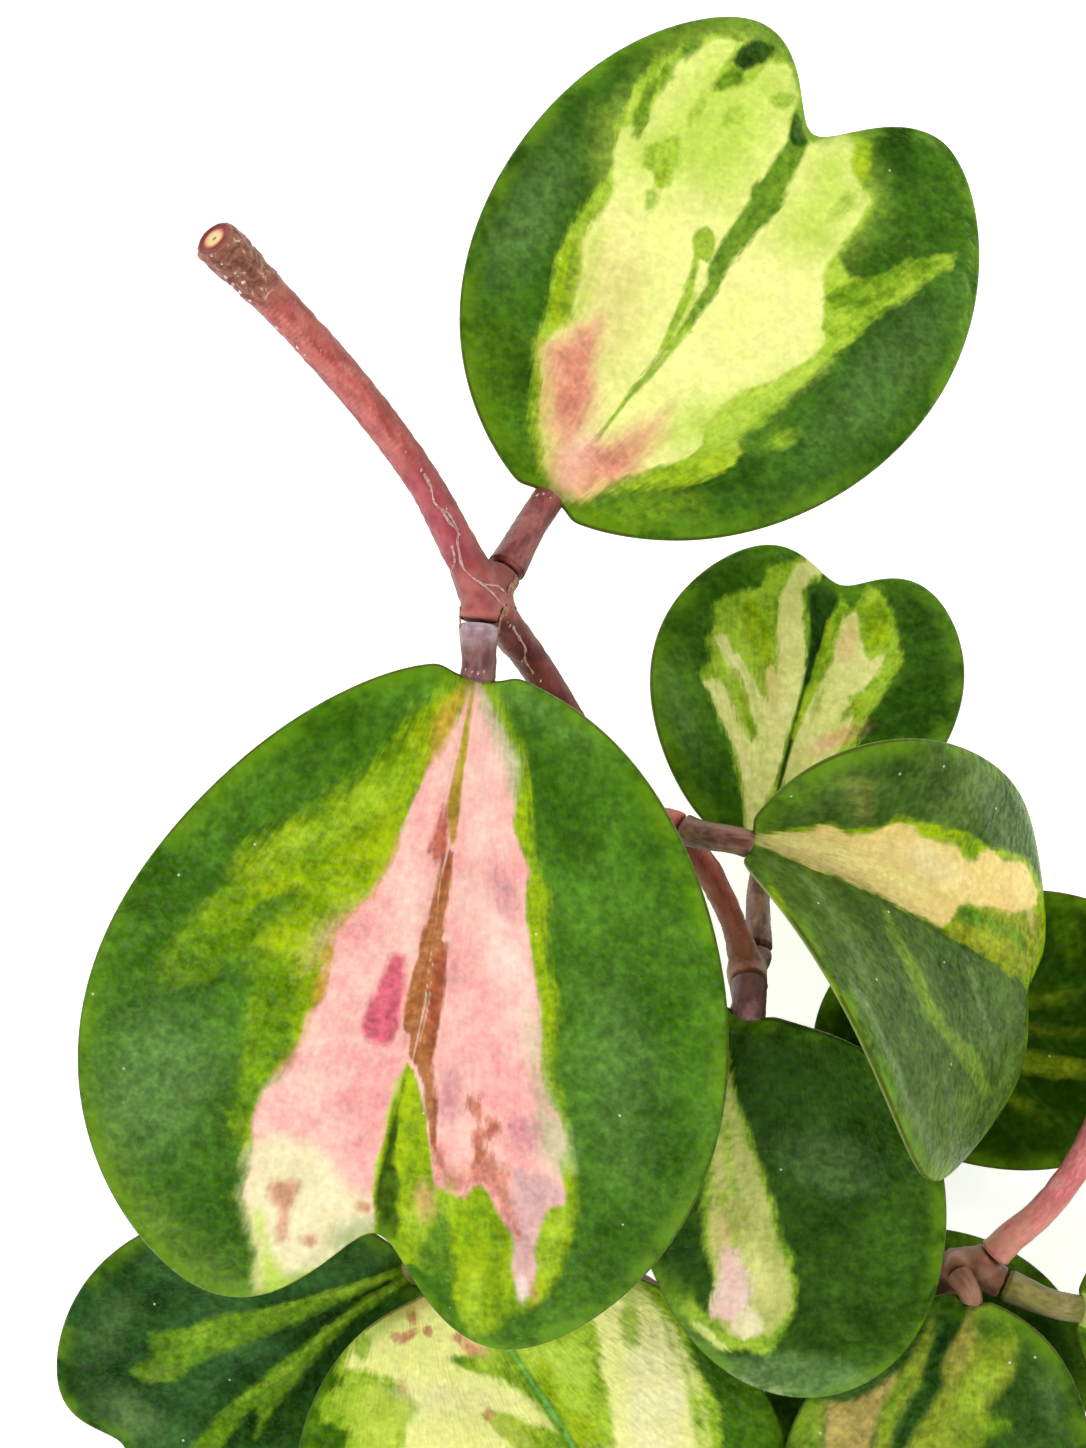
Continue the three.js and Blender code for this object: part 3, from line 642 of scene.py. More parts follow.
            -51, 869, -32, 842, 2, 856, 45, 930, 78, 903, 94, 865, 127, 854, 151, 836, 156, 673, 169, 633,
            191, 614, 212, 569, 232, 548, 227, 502, 194, 419, 160, 370, 140, 268, 159, 245, 155, 211,
            130, 168, 68, 90, 66, 61, 33, 17, 8, -2]),
        ("pale_lime", 14, 90, 0.9, [-256, 597, -278, 655, -261, 748, -263, 874, -237, 924, -194, 968,
            -196, 907, -114, 975, -60, 927, -35, 844, -28, 709, -42, 645, -112, 634, -192, 589, -223, 562]),
        ("pale_lime", 14, 70, 0.8, [9, 870, 49, 933, 146, 844, 155, 685, 112, 657, 40, 652]),
        ("pale_lime", 14, 40, 0.8, [82, 270, 184, 399, 223, 474, 234, 526, 212, 569, 239, 554, 240, 499,
            196, 312, 198, 276, 97, 189, 81, 198, 87, 238]),
        ("pale_lime", 12, 14, 0.7, [-159, 247, -157, 285, -180, 363, -206, 413, -216, 490, -182, 459,
            -133, 331, -140, 276]),
        ("moss", 10, 8, 0.9, [-232, 361, -236, 405, -208, 407, -182, 373, -167, 325, -145, 284, -162, 252,
            -192, 274, -205, 326]),
        ("leek", 12, 8, 0.7, (-203, 362, 11, 39, 23)),
        ("lime", 10, 6, 0.9, [-214, 673, -187, 710, -162, 667, -148, 615, -165, 600, -188, 616, -209, 608,
            -224, 651]),
        ("lime", 10, 6, 0.7, [-181, 578, -165, 593, -148, 560, -153, 538]),
        ("moss", 10, 6, 0.7, (-172, 625, 10, 30, 15)),
        ("leek", 14, 8, 0.9, [-249, 650, -297, 781, -295, 806, -252, 709, -244, 669]),
        ("leek", 14, 8, 0.8, [-267, 748, -281, 805, -274, 838, -261, 801, -260, 771]),
        ("lime", 12, 8, 0.7, [-189, 734, -204, 778, -202, 811, -191, 800, -180, 762, -178, 738]),
        ("leek", 10, 8, 0.9, [-190, 827, -197, 858, -193, 894, -166, 901, -149, 880]),
        ("deep", 10, 6, 0.95, [-192, 900, -198, 938, -183, 975, -142, 988, -140, 963, -164, 898]),
        ("green", 10, 8, 0.8, (-266, 878, 11, 24, -6)),
        ("lime", 8, 6, 0.8, (-82, 897, 14, 24, -29)),
        ("lime", 10, 8, 0.5, (-130, 812, 16, 23, -23)),
        ("moss", 10, 8, 0.8, [73, 912, 90, 937, 119, 904, 130, 856, 98, 866, 75, 882]),
        ("lime", 14, 10, 0.7, (118, 807, 13, 41, -8)),
        ("leek", 10, 6, 0.95, [2, 859, 28, 706, 20, 581, 29, 411, 10, 232, 6, 121, 6, 463, 3, 502, -20, 565,
            -26, 685, -33, 717, -26, 749, -32, 808, -28, 832, -48, 890, -44, 902]),
        ("green", 10, 12, 0.5, [-2, 855, 5, 629, -1, 549, -13, 588, -7, 659, -25, 791, -25, 838]),
        ("deep", 4, 5, 0.95, [1, 861, -49, 906, -54, 896, -32, 842, -18, 834, -3, 846]),
        ("lime", 6, 4, 0.95, [30, 409, 21, 366, 4, 337, -30, 493, -43, 527, -66, 562, -65, 588, -56, 601,
            -38, 597, -22, 575, -17, 540, -32, 537, -4, 466, 12, 368, 14, 438]),
        ("pale_lime", 3, 3, 0.8, [3.4, -3, 478, 6, 431, 11, 382]),
        ("lime", 4, 3, 0.9, [3.7, 30, 412, 17, 333, 9, 246, 8, 177, 6, 128]),
        ("leek", 10, 8, 0.9, [185, 614, 186, 648, 244, 725, 269, 774, 300, 816, 321, 833, 250, 649,
            208, 611]),
        ("lime", 12, 10, 0.8, (279, 758, 12, 68, -26)),
        ("green", 12, 8, 0.85, (233, 303, 22, 27, -35)),
        ("lime", 12, 10, 0.7, (265, 344, 13, 24, -33)),
        ("moss", 12, 12, 0.6, [70, 87, 193, 257, 214, 267, 219, 224, 183, 167, 119, 106]),
        ("tan", 12, 22, 0.6, [-165, 218, -147, 217, -96, 147, -38, 80, -8, 35, -12, 9, -52, 44, -95, 101]),
        ("sand", 10, 40, 0.5, (-115, 370, 57, 134, 26)),
        ("salmon", 12, 22, 1, [-153, 216, -112, 329, -65, 233, -34, 196, -16, 108, 3, 133, 27, 128,
            100, 142, 46, 28, 8, 2, -29, 41, -43, 87, -69, 100]),
        ("pink", 12, 22, 0.6, (-3, 97, 19, 55, 7)),
        ("coral", 14, 34, 0.62, [-136, 226, -116, 292, -92, 269, -81, 227, -47, 201, -37, 162, -50, 130,
            -78, 139]),
        ("brick", 14, 20, 0.42, (-67, 177, 15, 37, 26)),
        ("coral", 12, 26, 0.72, [8, 104, 26, 155, 78, 265, 91, 218, 92, 183, 89, 153, 69, 104, 42, 98]),
        ("brick", 14, 20, 0.32, (56, 141, 16, 46, -43)),
        ("leek", 14, 50, 0.5, [-286, 150, -191, 66, -78, 0, -21, -21, -5, -4, -238, 215]),
        ("moss", 14, 40, 0.4, [37, -21, 129, 26, 219, 142, 193, 151, 99, 72, 32, 3]),
        # painted sheen on both flanks
        ("painted_sheen", 10, 50, 0.45, (-312, 408, 36, 110, 10)),
        ("painted_sheen", 10, 50, 0.3, (345, 557, 49, 189, -5)),
    ]),
    "back": (((78, 124, 22), (46, 88, 8)), [
        ("lime", 18, 12, 0.95, [-94, 32, -134, 148, -222, 308, -272, 360, -302, 419, -347, 456, -386, 499,
            -354, 551, -389, 617, -367, 667, -391, 731, -367, 775, -299, 820, -253, 843, -252, 909,
            -127, 1002, -67, 970, -83, 925, -106, 892, -88, 825, -61, 762, -55, 675, -36, 593, -29, 352,
            -33, 265, -19, 493, -8, 567, -5, 762, -9, 815, 14, 857, 8, 906, 52, 867, 82, 910, 84, 969,
            131, 955, 169, 913, 209, 850, 239, 785, 268, 738, 265, 684, 212, 530, 191, 370, 21, 93]),
        ("straw", 16, 9, 0.95, [-87, 44, -167, 240, -215, 310, -276, 376, -312, 433, -365, 471, -331, 503,
            -279, 479, -217, 395, -153, 340, -146, 366, -194, 437, -237, 492, -363, 626, -335, 650,
            -256, 591, -136, 484, -165, 551, -162, 605, -116, 567, -179, 759, -180, 831, -177, 886,
            -160, 954, -119, 997, -73, 968, -102, 930, -117, 870, -95, 787, -59, 692, -42, 591, -41, 296,
            -52, 173, -53, 64]),
        ("straw", 16, 9, 0.9, [7, 82, -19, 303, 1, 482, 19, 539, 48, 687, 40, 756, 39, 827, 70, 864,
            97, 824, 126, 741, 162, 706, 206, 741, 216, 704, 194, 646, 170, 609, 131, 565, 161, 519,
            164, 443, 141, 342]),
        ("lime", 20, 12, 0.35, (-183, 475, 16, 232, 24)),
        ("pale_lime", 20, 12, 0.6, (-238, 457, 16, 149, 31)),
        ("salmon", 14, 20, 0.6, (120, 416, 29, 99, -53)),
        ("salmon", 14, 20, 0.45, (76, 747, 31, 64, 3)),
        ("tan", 14, 20, 0.35, (-133, 526, 30, 86, 20)),
        ("moss", 20, 8, 0.9, [-314, 743, -282, 796, -237, 783, -174, 689, -166, 593, -257, 661]),
        ("moss", 16, 6, 0.8, [13.0, -268, 545, -215, 465, -152, 364]),
        ("moss", 20, 8, 0.9, [139, 924, 196, 847, 195, 785, 153, 740, 116, 803, 108, 888]),
        ("moss", 14, 8, 0.8, (151, 528, 16, 51, -35)),
        ("moss", 14, 8, 0.6, (33, 525, 13, 57, -5)),
        ("deep", 6, 6, 0.95, [-23, 933, -62, 913, -92, 867, -52, 730, -36, 646, -30, 231, -23, 131,
            -17, 184, -14, 512, -4, 603, -7, 808, 5, 891]),
        ("moss", 8, 6, 0.8, [8.5, -5, 798, -4, 691, -7, 588, -15, 502, -20, 396]),
        # painted sheen on one flank
        ("painted_sheen", 10, 50, 0.35, (-448, 389, 45, 144, 43)),
        ("deep", 20, 50, 0.75, [210, 979, 400, 934, 496, 648, 449, 393, 322, 365, 233, 465, 280, 705]),
    ]),
    "folded": (((84, 112, 42), (58, 88, 22)), [
        ("leek", 20, 30, 0.35, (-131, 42, 27, 106, 59)),
        ("tan2", 20, 16, 0.2, [-233, 124, -250, 204, -177, 236, -145, 225]),
        ("moss", 12, 10, 0.9, [-17, -12, -59, 65, -124, 161, -118, 205, -166, 274, -196, 300, -240, 508,
            -233, 583, -257, 653, -281, 791, -264, 893, -212, 959, -141, 981, 1, 925, -4, 900, -4, 20]),
        ("straw2", 10, 7, 1, [-14, -6, -88, 128, -109, 137, -117, 164, -111, 209, -130, 253, -187, 306,
            -188, 351, -179, 382, -186, 424, -201, 459, -203, 494, -187, 532, -233, 596, -233, 669,
            -264, 752, -239, 867, -203, 876, -164, 823, -132, 759, -109, 749, -111, 679, -79, 587, -6, 560,
            -4, 20]),
        ("salmon", 14, 30, 0.12, (-181, 702, 47, 87, -14)),
        ("cream", 14, 20, 0.4, [9.2, -27, 29, -67, 194, -68, 336, -66, 464]),
        ("cream_white", 14, 30, 0.4, (-128, 456, 30, 99, 3)),
        ("moss", 10, 8, 0.85, [-181, 374, -213, 400, -237, 514, -236, 573, -194, 567, -181, 528, -198, 490,
            -185, 434]),
        ("leek", 12, 8, 0.6, (-201, 546, 23, 29, -2)),
        ("olive", 10, 8, 0.9, [-52, 579, -79, 587, -117, 675, -134, 758, -173, 830, -193, 920, -144, 956,
            -65, 937, -4, 860, -4, 580]),
        ("green", 10, 12, 0.85, (-72, 626, 24, 44, 7)),
        ("green", 12, 12, 0.7, (-82, 703, 18, 66, 6)),
        ("green", 14, 12, 0.7, (-92, 820, 23, 54, -16)),
        ("straw2", 12, 12, 0.6, (-165, 854, 16, 61, -39)),
        ("fern", 8, 10, 0.7, [29, 365, 49, 395, 104, 437, 154, 485, 205, 522, 238, 587, 233, 709, 246, 780,
            283, 882, 310, 843, 286, 631, 267, 534, 231, 472, 113, 378]),
        ("leek", 6, 6, 0.6, [6.0, 112, 433, 172, 481, 231, 523]),
        # painted grey sheen in streaks across the folded half
        ("painted_grey_sheen", 10, 12, 0.45, [16.2, 340, 257, 430, 360, 503, 484, 526, 721]),
        ("painted_grey_sheen", 10, 10, 0.4, [11.5, 37, 652, 135, 728, 214, 846]),
        ("painted_grey_sheen", 10, 10, 0.4, [11.5, 363, 615, 438, 725, 506, 818]),
        ("painted_grey_sheen", 10, 12, 0.35, [13.8, 26, 121, 148, 215, 288, 290]),
        ("deep", 10, 14, 0.3, [16.2, 21, 258, 183, 361, 341, 510, 434, 737]),
        # painted grey sheen on one flank
        ("painted_grey_sheen", 10, 30, 0.35, (-331, 533, 41, 159, -26)),
        ("moss", 4, 8, 0.75, [11.5, 167, 53, 316, 114, 368, 191, 442, 267, 504, 325, 543, 415, 582, 513,
            595, 607]),
    ]),
    "middle": (((58, 100, 12), (32, 68, 0)), [
        ("lime", 14, 12, 0.85, [7, 130, -41, 230, -122, 321, -245, 491, -280, 552, -317, 582, -327, 623,
            -361, 655, -375, 739, -370, 831, -358, 869, -305, 873, -289, 900, -255, 900, -157, 858,
            -123, 835, -92, 798, -133, 792, -182, 818, -205, 819, -183, 779, -178, 736, -88, 578,
            -65, 528]),
        ("straw3", 12, 8, 0.95, [-11, 179, -46, 250, -113, 339, -136, 359, -165, 405, -202, 449, -317, 626,
            -353, 672, -365, 727, -352, 819, -321, 812, -297, 851, -259, 853, -224, 830, -193, 784,
            -182, 734, -99, 573, -76, 495]),
        ("lime", 12, 10, 0.7, [14.1, -57, 317, -91, 403, -134, 474]),
        ("moss", 10, 8, 0.8, (-110, 500, 16, 33, 24)),
        ("moss", 10, 10, 0.6, (-165, 573, 14, 44, 23)),
        ("moss", 10, 8, 0.5, (-178, 518, 11, 17, 28)),
        ("cream", 14, 20, 0.6, (-257, 656, 27, 75, 35)),
        ("sand", 14, 20, 0.6, (-138, 576, 19, 55, 22)),
        ("pale_pink", 20, 14, 1, [-168, 615, -192, 612, -211, 650, -240, 674, -266, 718, -268, 750,
            -257, 790, -231, 812, -200, 805, -165, 652]),
        ("pink", 20, 14, 0.5, (-202, 688, 19, 67, 24)),
        ("cream_white", 10, 10, 0.9, [-253, 801, -272, 749, -305, 767, -324, 805, -306, 842, -284, 850,
            -248, 824]),
        ("cream", 10, 6, 0.8, [7.0, -163, 847, -207, 867, -251, 889, -288, 891]),
        ("lime", 12, 14, 0.7, (-126, 806, 23, 47, 65)),
        ("leek", 12, 16, 0.5, (-103, 779, 31, 51, 61)),
        # painted sheen along the lower margin
        ("painted_sheen", 12, 30, 0.6, [-35, 790, -120, 827, -190, 879, -276, 914, -349, 887, -433, 833, -562, 830,
            -648, 850, -595, 917, -490, 987, -339, 1002, -213, 941]),
        ("mist", 16, 10, 0.5, (-422, 959, 15, 31, -49)),
        ("mist", 16, 10, 0.4, (-331, 967, 13, 36, 76)),
        # painted sheen on one flank
        ("painted_sheen", 20, 30, 0.3, (-320, 323, 73, 132, 85)),
    ]),
    "bottom": (((72, 118, 12), (44, 84, 0)), [
        ("lime", 14, 10, 1, [490, 330, 470, 240, 400, 200, 450, 140, 430, 100, 360, 100, 360, 60, 330, 30,
            280, 0, 150, -100, -50, -100, -200, 0, -310, 120, -360, 250, -400, 300, -360, 490, -360, 600,
            -280, 760, -160, 900, 20, 860, 180, 920, 340, 740, 440, 520]),
        ("cream", 16, 12, 1, [210, -29, 256, -14, 288, 12, 307, 46, 337, 65, 276, 120, 240, 197, 236, 235,
            288, 257, 370, 360, 340, 660, 200, 840, 100, 700, 120, 420, 49, 474, 86, 350, -9, 466, 10, 360,
            46, 282, 99, 232, 114, 189, 22, 193, -85, 147, 70, -1]),
        ("cream", 16, 12, 1, [-165, 193, -214, 248, -198, 321, -163, 384, -144, 456, -101, 565, -50, 500,
            -50, 740, -200, 800, -300, 660, -350, 500, -360, 350, -276, 668, -328, 565, -330, 524,
            -343, 462, -329, 412, -354, 330, -349, 244, -281, 177]),
        ("pale_lime", 18, 20, 0.8, [-32, 239, -118, 275, -167, 331, -153, 392, -115, 397, -59, 310]),
        ("straw4", 16, 30, 0.8, (-238, 511, 72, 169, -25)),
        ("straw4", 16, 30, 0.5, (191, 250, 47, 140, 58)),
        ("lime2", 16, 14, 0.8, [386, 94, 337, 87, 239, 236, 283, 247, 320, 264, 326, 307, 398, 261,
            404, 203, 379, 197, 391, 157, 416, 114]),
        ("lime", 16, 10, 0.7, (358, 123, 23, 39, 79)),
        ("lime", 12, 8, 0.85, (277, 40, 19, 38, -16)),
        ("moss", 14, 12, 0.85, [-64, 277, -72, 309, -53, 370, -60, 429, -92, 462, -94, 516, -82, 565,
            -10, 522, -15, 386, -25, 317]),
        ("moss", 14, 8, 0.8, [130, 322, 76, 356, 45, 421, 30, 497, 93, 456]),
        ("leek", 8, 6, 0.95, (98, 203, 12, 32, 41)),
        ("lime", 14, 12, 0.8, (28, 250, 24, 72, 47)),
        ("lime", 14, 10, 0.8, (-284, 311, 21, 62, -25)),
        ("lime", 14, 12, 0.6, (-165, 296, 19, 44, -17)),
        ("lime", 14, 12, 0.6, (-293, 628, 19, 99, -18)),
        ("leek", 6, 7, 0.85, [13.8, -8, 211, -11, 323, -18, 404, -18, 527, 0, 600]),
        ("sage", 4, 4, 0.85, [5.1, -8, 211, -13, 329, -19, 411, -20, 528, 0, 750, 0, 900]),
        ("salmon", 14, 20, 0.7, (150, 15, 21, 64, 79)),
        ("salmon", 12, 14, 0.7, (66, 176, 19, 38, 29)),
        ("rust", 6, 6, 0.85, (150, 47, 12, 21, -18)),
        ("rust", 6, 6, 0.85, (179, 78, 11, 28, -87)),
        ("rust", 6, 6, 0.75, (205, 64, 12, 13, 37)),
        ("rust", 6, 5, 0.8, (135, 95, 12, 14, -21)),
        ("rust", 6, 5, 0.8, (84, 143, 12, 13, 14)),
        ("rust", 6, 6, 0.6, (69, 182, 12, 21, 32)),
        ("rust", 6, 8, 0.45, (252, 176, 12, 26, -20)),
        ("umber", 6, 4, 0.7, (335, 175, 7, 12, -19)),
        ("rust", 6, 5, 0.7, (114, 338, 9, 17, -22)),
    ]),
    "left": (((60, 104, 44), (22, 62, 8)), [
        ("deep", 10, 40, 0.95, [48, -88, 73, 216, 162, 416, 102, 424, -23, 375, -36, 514, -44, 716,
            -150, 682, -259, 487, -64, 303, -65, -17]),
        ("fern2", 10, 12, 0.95, [19, -53, 23, 8, 104, 325, 179, 536, 191, 610, 231, 699, 196, 716, 161, 713,
            173, 771, 166, 802, 129, 784, 80, 717, 94, 659, 89, 580, 36, 240, 24, 120, 5, 20]),
        ("fern2", 10, 12, 0.95, [0, -41, -11, 46, -3, 137, -14, 337, -52, 621, -70, 698, -101, 791,
            -140, 722, -102, 620, -88, 562, -114, 555, -162, 601, -140, 551, -116, 514, -102, 456, -45, 289,
            -27, 213, -18, 2]),
        ("lime", 10, 8, 0.5, [8.0, 12, -32, 40, 109, 78, 277, 116, 382]),
        ("lime", 10, 8, 0.5, [9.1, -6, 11, 1, 150, -16, 290, -45, 389, -54, 492, -58, 593]),
        ("lime", 14, 10, 0.5, (163, 579, 17, 35, -12)),
        ("fern", 14, 10, 0.6, (122, 739, 20, 51, -18)),
        ("green", 14, 10, 0.6, (105, 602, 17, 47, -13)),
        # painted sheen near the notch and on one flank
        ("painted_sheen", 10, 50, 0.45, (76, 869, 49, 97, -65)),
        ("painted_sheen", 10, 40, 0.3, (290, 793, 40, 103, 24)),
    ]),
    "low_right": (((58, 96, 22), (34, 68, 6)), [
        ("moss2", 14, 23, 0.95, [3, 42, 28, 236, 15, 301, 46, 378, 92, 553, 20, 750, -130, 492, -155, 391,
            -127, 330, -161, 269, -181, 194, -172, 78, -131, 31, -61, 10]),
        ("lime", 14, 27, 0.5, (-81, 292, 47, 120, -18)),
        ("tan2", 14, 34, 0.7, (-6, 159, 30, 92, -6)),
        ("green", 12, 23, 0.8, (-81, 66, 44, 58, -87)),
        ("leek", 14, 27, 0.7, (-143, 412, 30, 77, -42)),
        ("moss2", 14, 19, 0.9, [102, 93, 118, 110, 155, 267, 177, 299, 197, 432, 189, 577, 300, 800,
            200, 840, 139, 564, 149, 455, 94, 286, 93, 183]),
        ("tan2", 10, 19, 0.95, [176, 289, 217, 351, 298, 423, 370, 441, 335, 614, 360, 750, 250, 840,
            201, 580, 199, 398, 170, 315]),
        ("moss2", 10, 19, 0.9, [463, 465, 379, 444, 344, 616, 400, 620, 450, 560, 425, 637]),
        ("green", 14, 19, 0.7, (389, 568, 17, 102, 15)),
        ("leek", 14, 19, 0.7, (153, 318, 17, 49, -2)),
        ("leek", 14, 19, 0.6, (172, 426, 17, 70, -2)),
        ("deep", 6, 11, 0.95, [17, 38, 56, 68, 74, 127, 89, 199, 95, 283, 75, 313, 106, 375, 136, 564,
            100, 850, 104, 556, 82, 446, 33, 295, 61, 247, 43, 174, 18, 114, 3, 55]),
        # painted sheen on one flank
        ("painted_sheen", 10, 57, 0.3, (-320, 241, 33, 67, 25)),
    ]),
    "right": (((40, 70, 4), (24, 52, 0)), [
        ("olive2", 14, 14, 0.8, [62, 519, 61, 605, 104, 772, 144, 768, 140, 668, 104, 515]),
        ("olive2", 14, 20, 0.5, (-86, 618, 17, 116, 6)),
        ("olive2", 14, 20, 0.5, (178, 522, 17, 83, -33)),
        ("olive2", 14, 20, 0.5, (2, 640, 14, 86, -9)),
        ("leek", 14, 30, 0.3, (-278, 731, 35, 91, -76)),
    ]),
    "far_right": (((66, 108, 20), (38, 76, 4)), [
        ("lime", 16, 12, 1, [30, -100, 100, 200, 200, 400, 240, 640, 160, 840, 80, 800, 0, 700, -100, 880,
            -220, 740, -220, 500, -120, 200, -20, -100]),
        ("cream", 20, 10, 0.95, [20, -100, 80, 200, 160, 420, 180, 640, 100, 740, 30, 500, -30, 500,
            -120, 760, -180, 600, -100, 240, -20, -100]),
        ("pink", 20, 30, 0.7, [30, 200, 90, 340, 70, 480, 20, 400]),
        ("moss", 16, 10, 0.8, [80, 500, 160, 620, 120, 720, 70, 620]),
        ("green", 8, 6, 0.9, [-3, 100, -20, 600, 0, 1000, 20, 600, 4, 100]),
    ]),
    "under": (((58, 96, 20), (34, 68, 6)), [
        ("lime", 16, 12, 0.95, [30, -100, 120, 220, 200, 500, 140, 760, 50, 600, -50, 600, -160, 800,
            -200, 500, -100, 200, -20, -100]),
        ("cream", 20, 12, 0.8, [20, -100, 100, 300, 120, 560, 0, 400, -120, 600, -80, 200]),
        ("deep", 8, 6, 0.8, [-3, 100, -15, 600, 0, 900, 15, 600, 4, 100]),
    ]),
}
print("paints:", len(PAINTS), "zones:", sum(len(zones) for _, zones in ZONES.values()))

# %% [markdown]
# ## Depth inside a zone
# The depth is the distance from the zone's edge, positive inside. It is worked out for every point of a
# leaf at once, with a column for each stretch of the outline or line.

# %% Depth inside a zone
def away_from(u, v, start, edge):
    """The distance of each point from the nearest of several straight stretches."""
    du, dv = u[:, None] - start[:, 0], v[:, None] - start[:, 1]
    share = np.clip((du * edge[:, 0] + dv * edge[:, 1]) / (edge ** 2).sum(-1), 0, 1)
    return np.hypot(du - share * edge[:, 0], dv - share * edge[:, 1]).min(-1)


def outline_depth(u, v, outline):
    """How deep each point lies inside a closed outline: the distance to its nearest edge, negative
    outside. A point is inside where a line from it towards +u crosses the outline an odd number of times."""
    start = np.reshape(outline, (-1, 2)).astype(float)
    end = np.roll(start, -1, 0)
    edge = end - start
    crosses = (start[:, 1] > v[:, None]) != (end[:, 1] > v[:, None])
    rise = np.where(np.abs(edge[:, 1]) < 1e-9, 1e-9, edge[:, 1])
    right = start[:, 0] + (v[:, None] - start[:, 1]) / rise * edge[:, 0] > u[:, None]
    inside = (crosses & right).sum(-1) % 2 == 1
    away = away_from(u, v, start, edge)
    return np.where(inside, away, -away)


def spot_depth(u, v, spot):
    """The same for an ellipse: one less the scaled distance from its middle, times its smaller half."""
    middle_u, middle_v, half_u, half_v, tilt = spot
    turn = np.radians(tilt)
    du, dv = u - middle_u, v - middle_v
    across = (du * np.cos(turn) + dv * np.sin(turn)) / half_u
    along = (dv * np.cos(turn) - du * np.sin(turn)) / half_v
    return (1 - np.hypot(across, along)) * min(half_u, half_v)


def line_depth(u, v, half_width, line):
    """The same for a line: its half width less the distance from its nearest stretch."""
    line = np.reshape(line, (-1, 2)).astype(float)
    return half_width - away_from(u, v, line[:-1], np.diff(line, axis=0))


def zone_depth(u, v, shape):
    """Depth inside a zone in thousandths of the leaf's length, whichever kind of shape it has."""
    if isinstance(shape, tuple):
        return spot_depth(u, v, shape)
    if len(shape) % 2 == 0:
        return outline_depth(u, v, shape)
    return line_depth(u, v, shape[0], shape[1:])


# %% [markdown]
# ## Node groups for the leaves
# Every leaf material uses the same three effects, so each is a node group that is made once. The first
# gives noise stretched along the leaf's growth. The second turns a depth into a mask with a ragged edge.
# The third is the waxy skin: fine cells, and pebbles whose light and dark spots are painted shading of
# their bumps, both stronger on dark tones, faint veins, a rim that is yellower and then brown at the very
# edge, the brown line partly the rim's own colour and partly painted shade, specks of dust, a duller
# underside, and the low bumps that break up a highlight.

# %% Node groups for the leaves
TONGUES = {  # for each noise: how it is stretched along the growth, and its detail
    "Wide": ((1.2, 0.85, 1.0), 3.0),
    "Narrow": ((4.6, 1.7, 1.0), 4.0),
    "Streak": ((5.5, 1.1, 1.0), 3.0),
}


def make_growth():
    """Growth place in, three noises out, each about -0.5 to 0.5: wide and narrow tongues, fine streaks."""
    tree, given, out = new_group(
        "growth_noise", [("Place", "Vector", None)], [(label, "Float") for label in TONGUES])
    for label, (scale, detail) in TONGUES.items():
        noise = add_noise(tree, stretched(tree, given["Place"], scale), 1.0, detail, 0.6, 0.35)
        tree.links.new(add_math(tree, "SUBTRACT", noise, 0.5), out[label])
    return tree


def make_zone_edge():
    """Depth moved by both noises, then a smooth step across the edge, times the strength."""
    labels = ("Depth", "Wide", "Narrow", "Reach", "Softness", "Strength")
    tree, given, out = new_group(
        "zone_edge", [(label, "Float", 0.0) for label in labels], [("Mask", "Float")])
    both = add_math(tree, "MULTIPLY_ADD", given["Narrow"], 1.1, given["Wide"])
    reach = add_math(tree, "MULTIPLY", given["Reach"], 2.0)
    moved = add_math(tree, "MULTIPLY_ADD", both, reach, given["Depth"])
    share = add_math(tree, "DIVIDE", moved, given["Softness"])
    mask = add_range(tree, share, -1.0, 1.0)
    tree.links.new(add_math(tree, "MULTIPLY", mask, given["Strength"]), out["Mask"])
    return tree


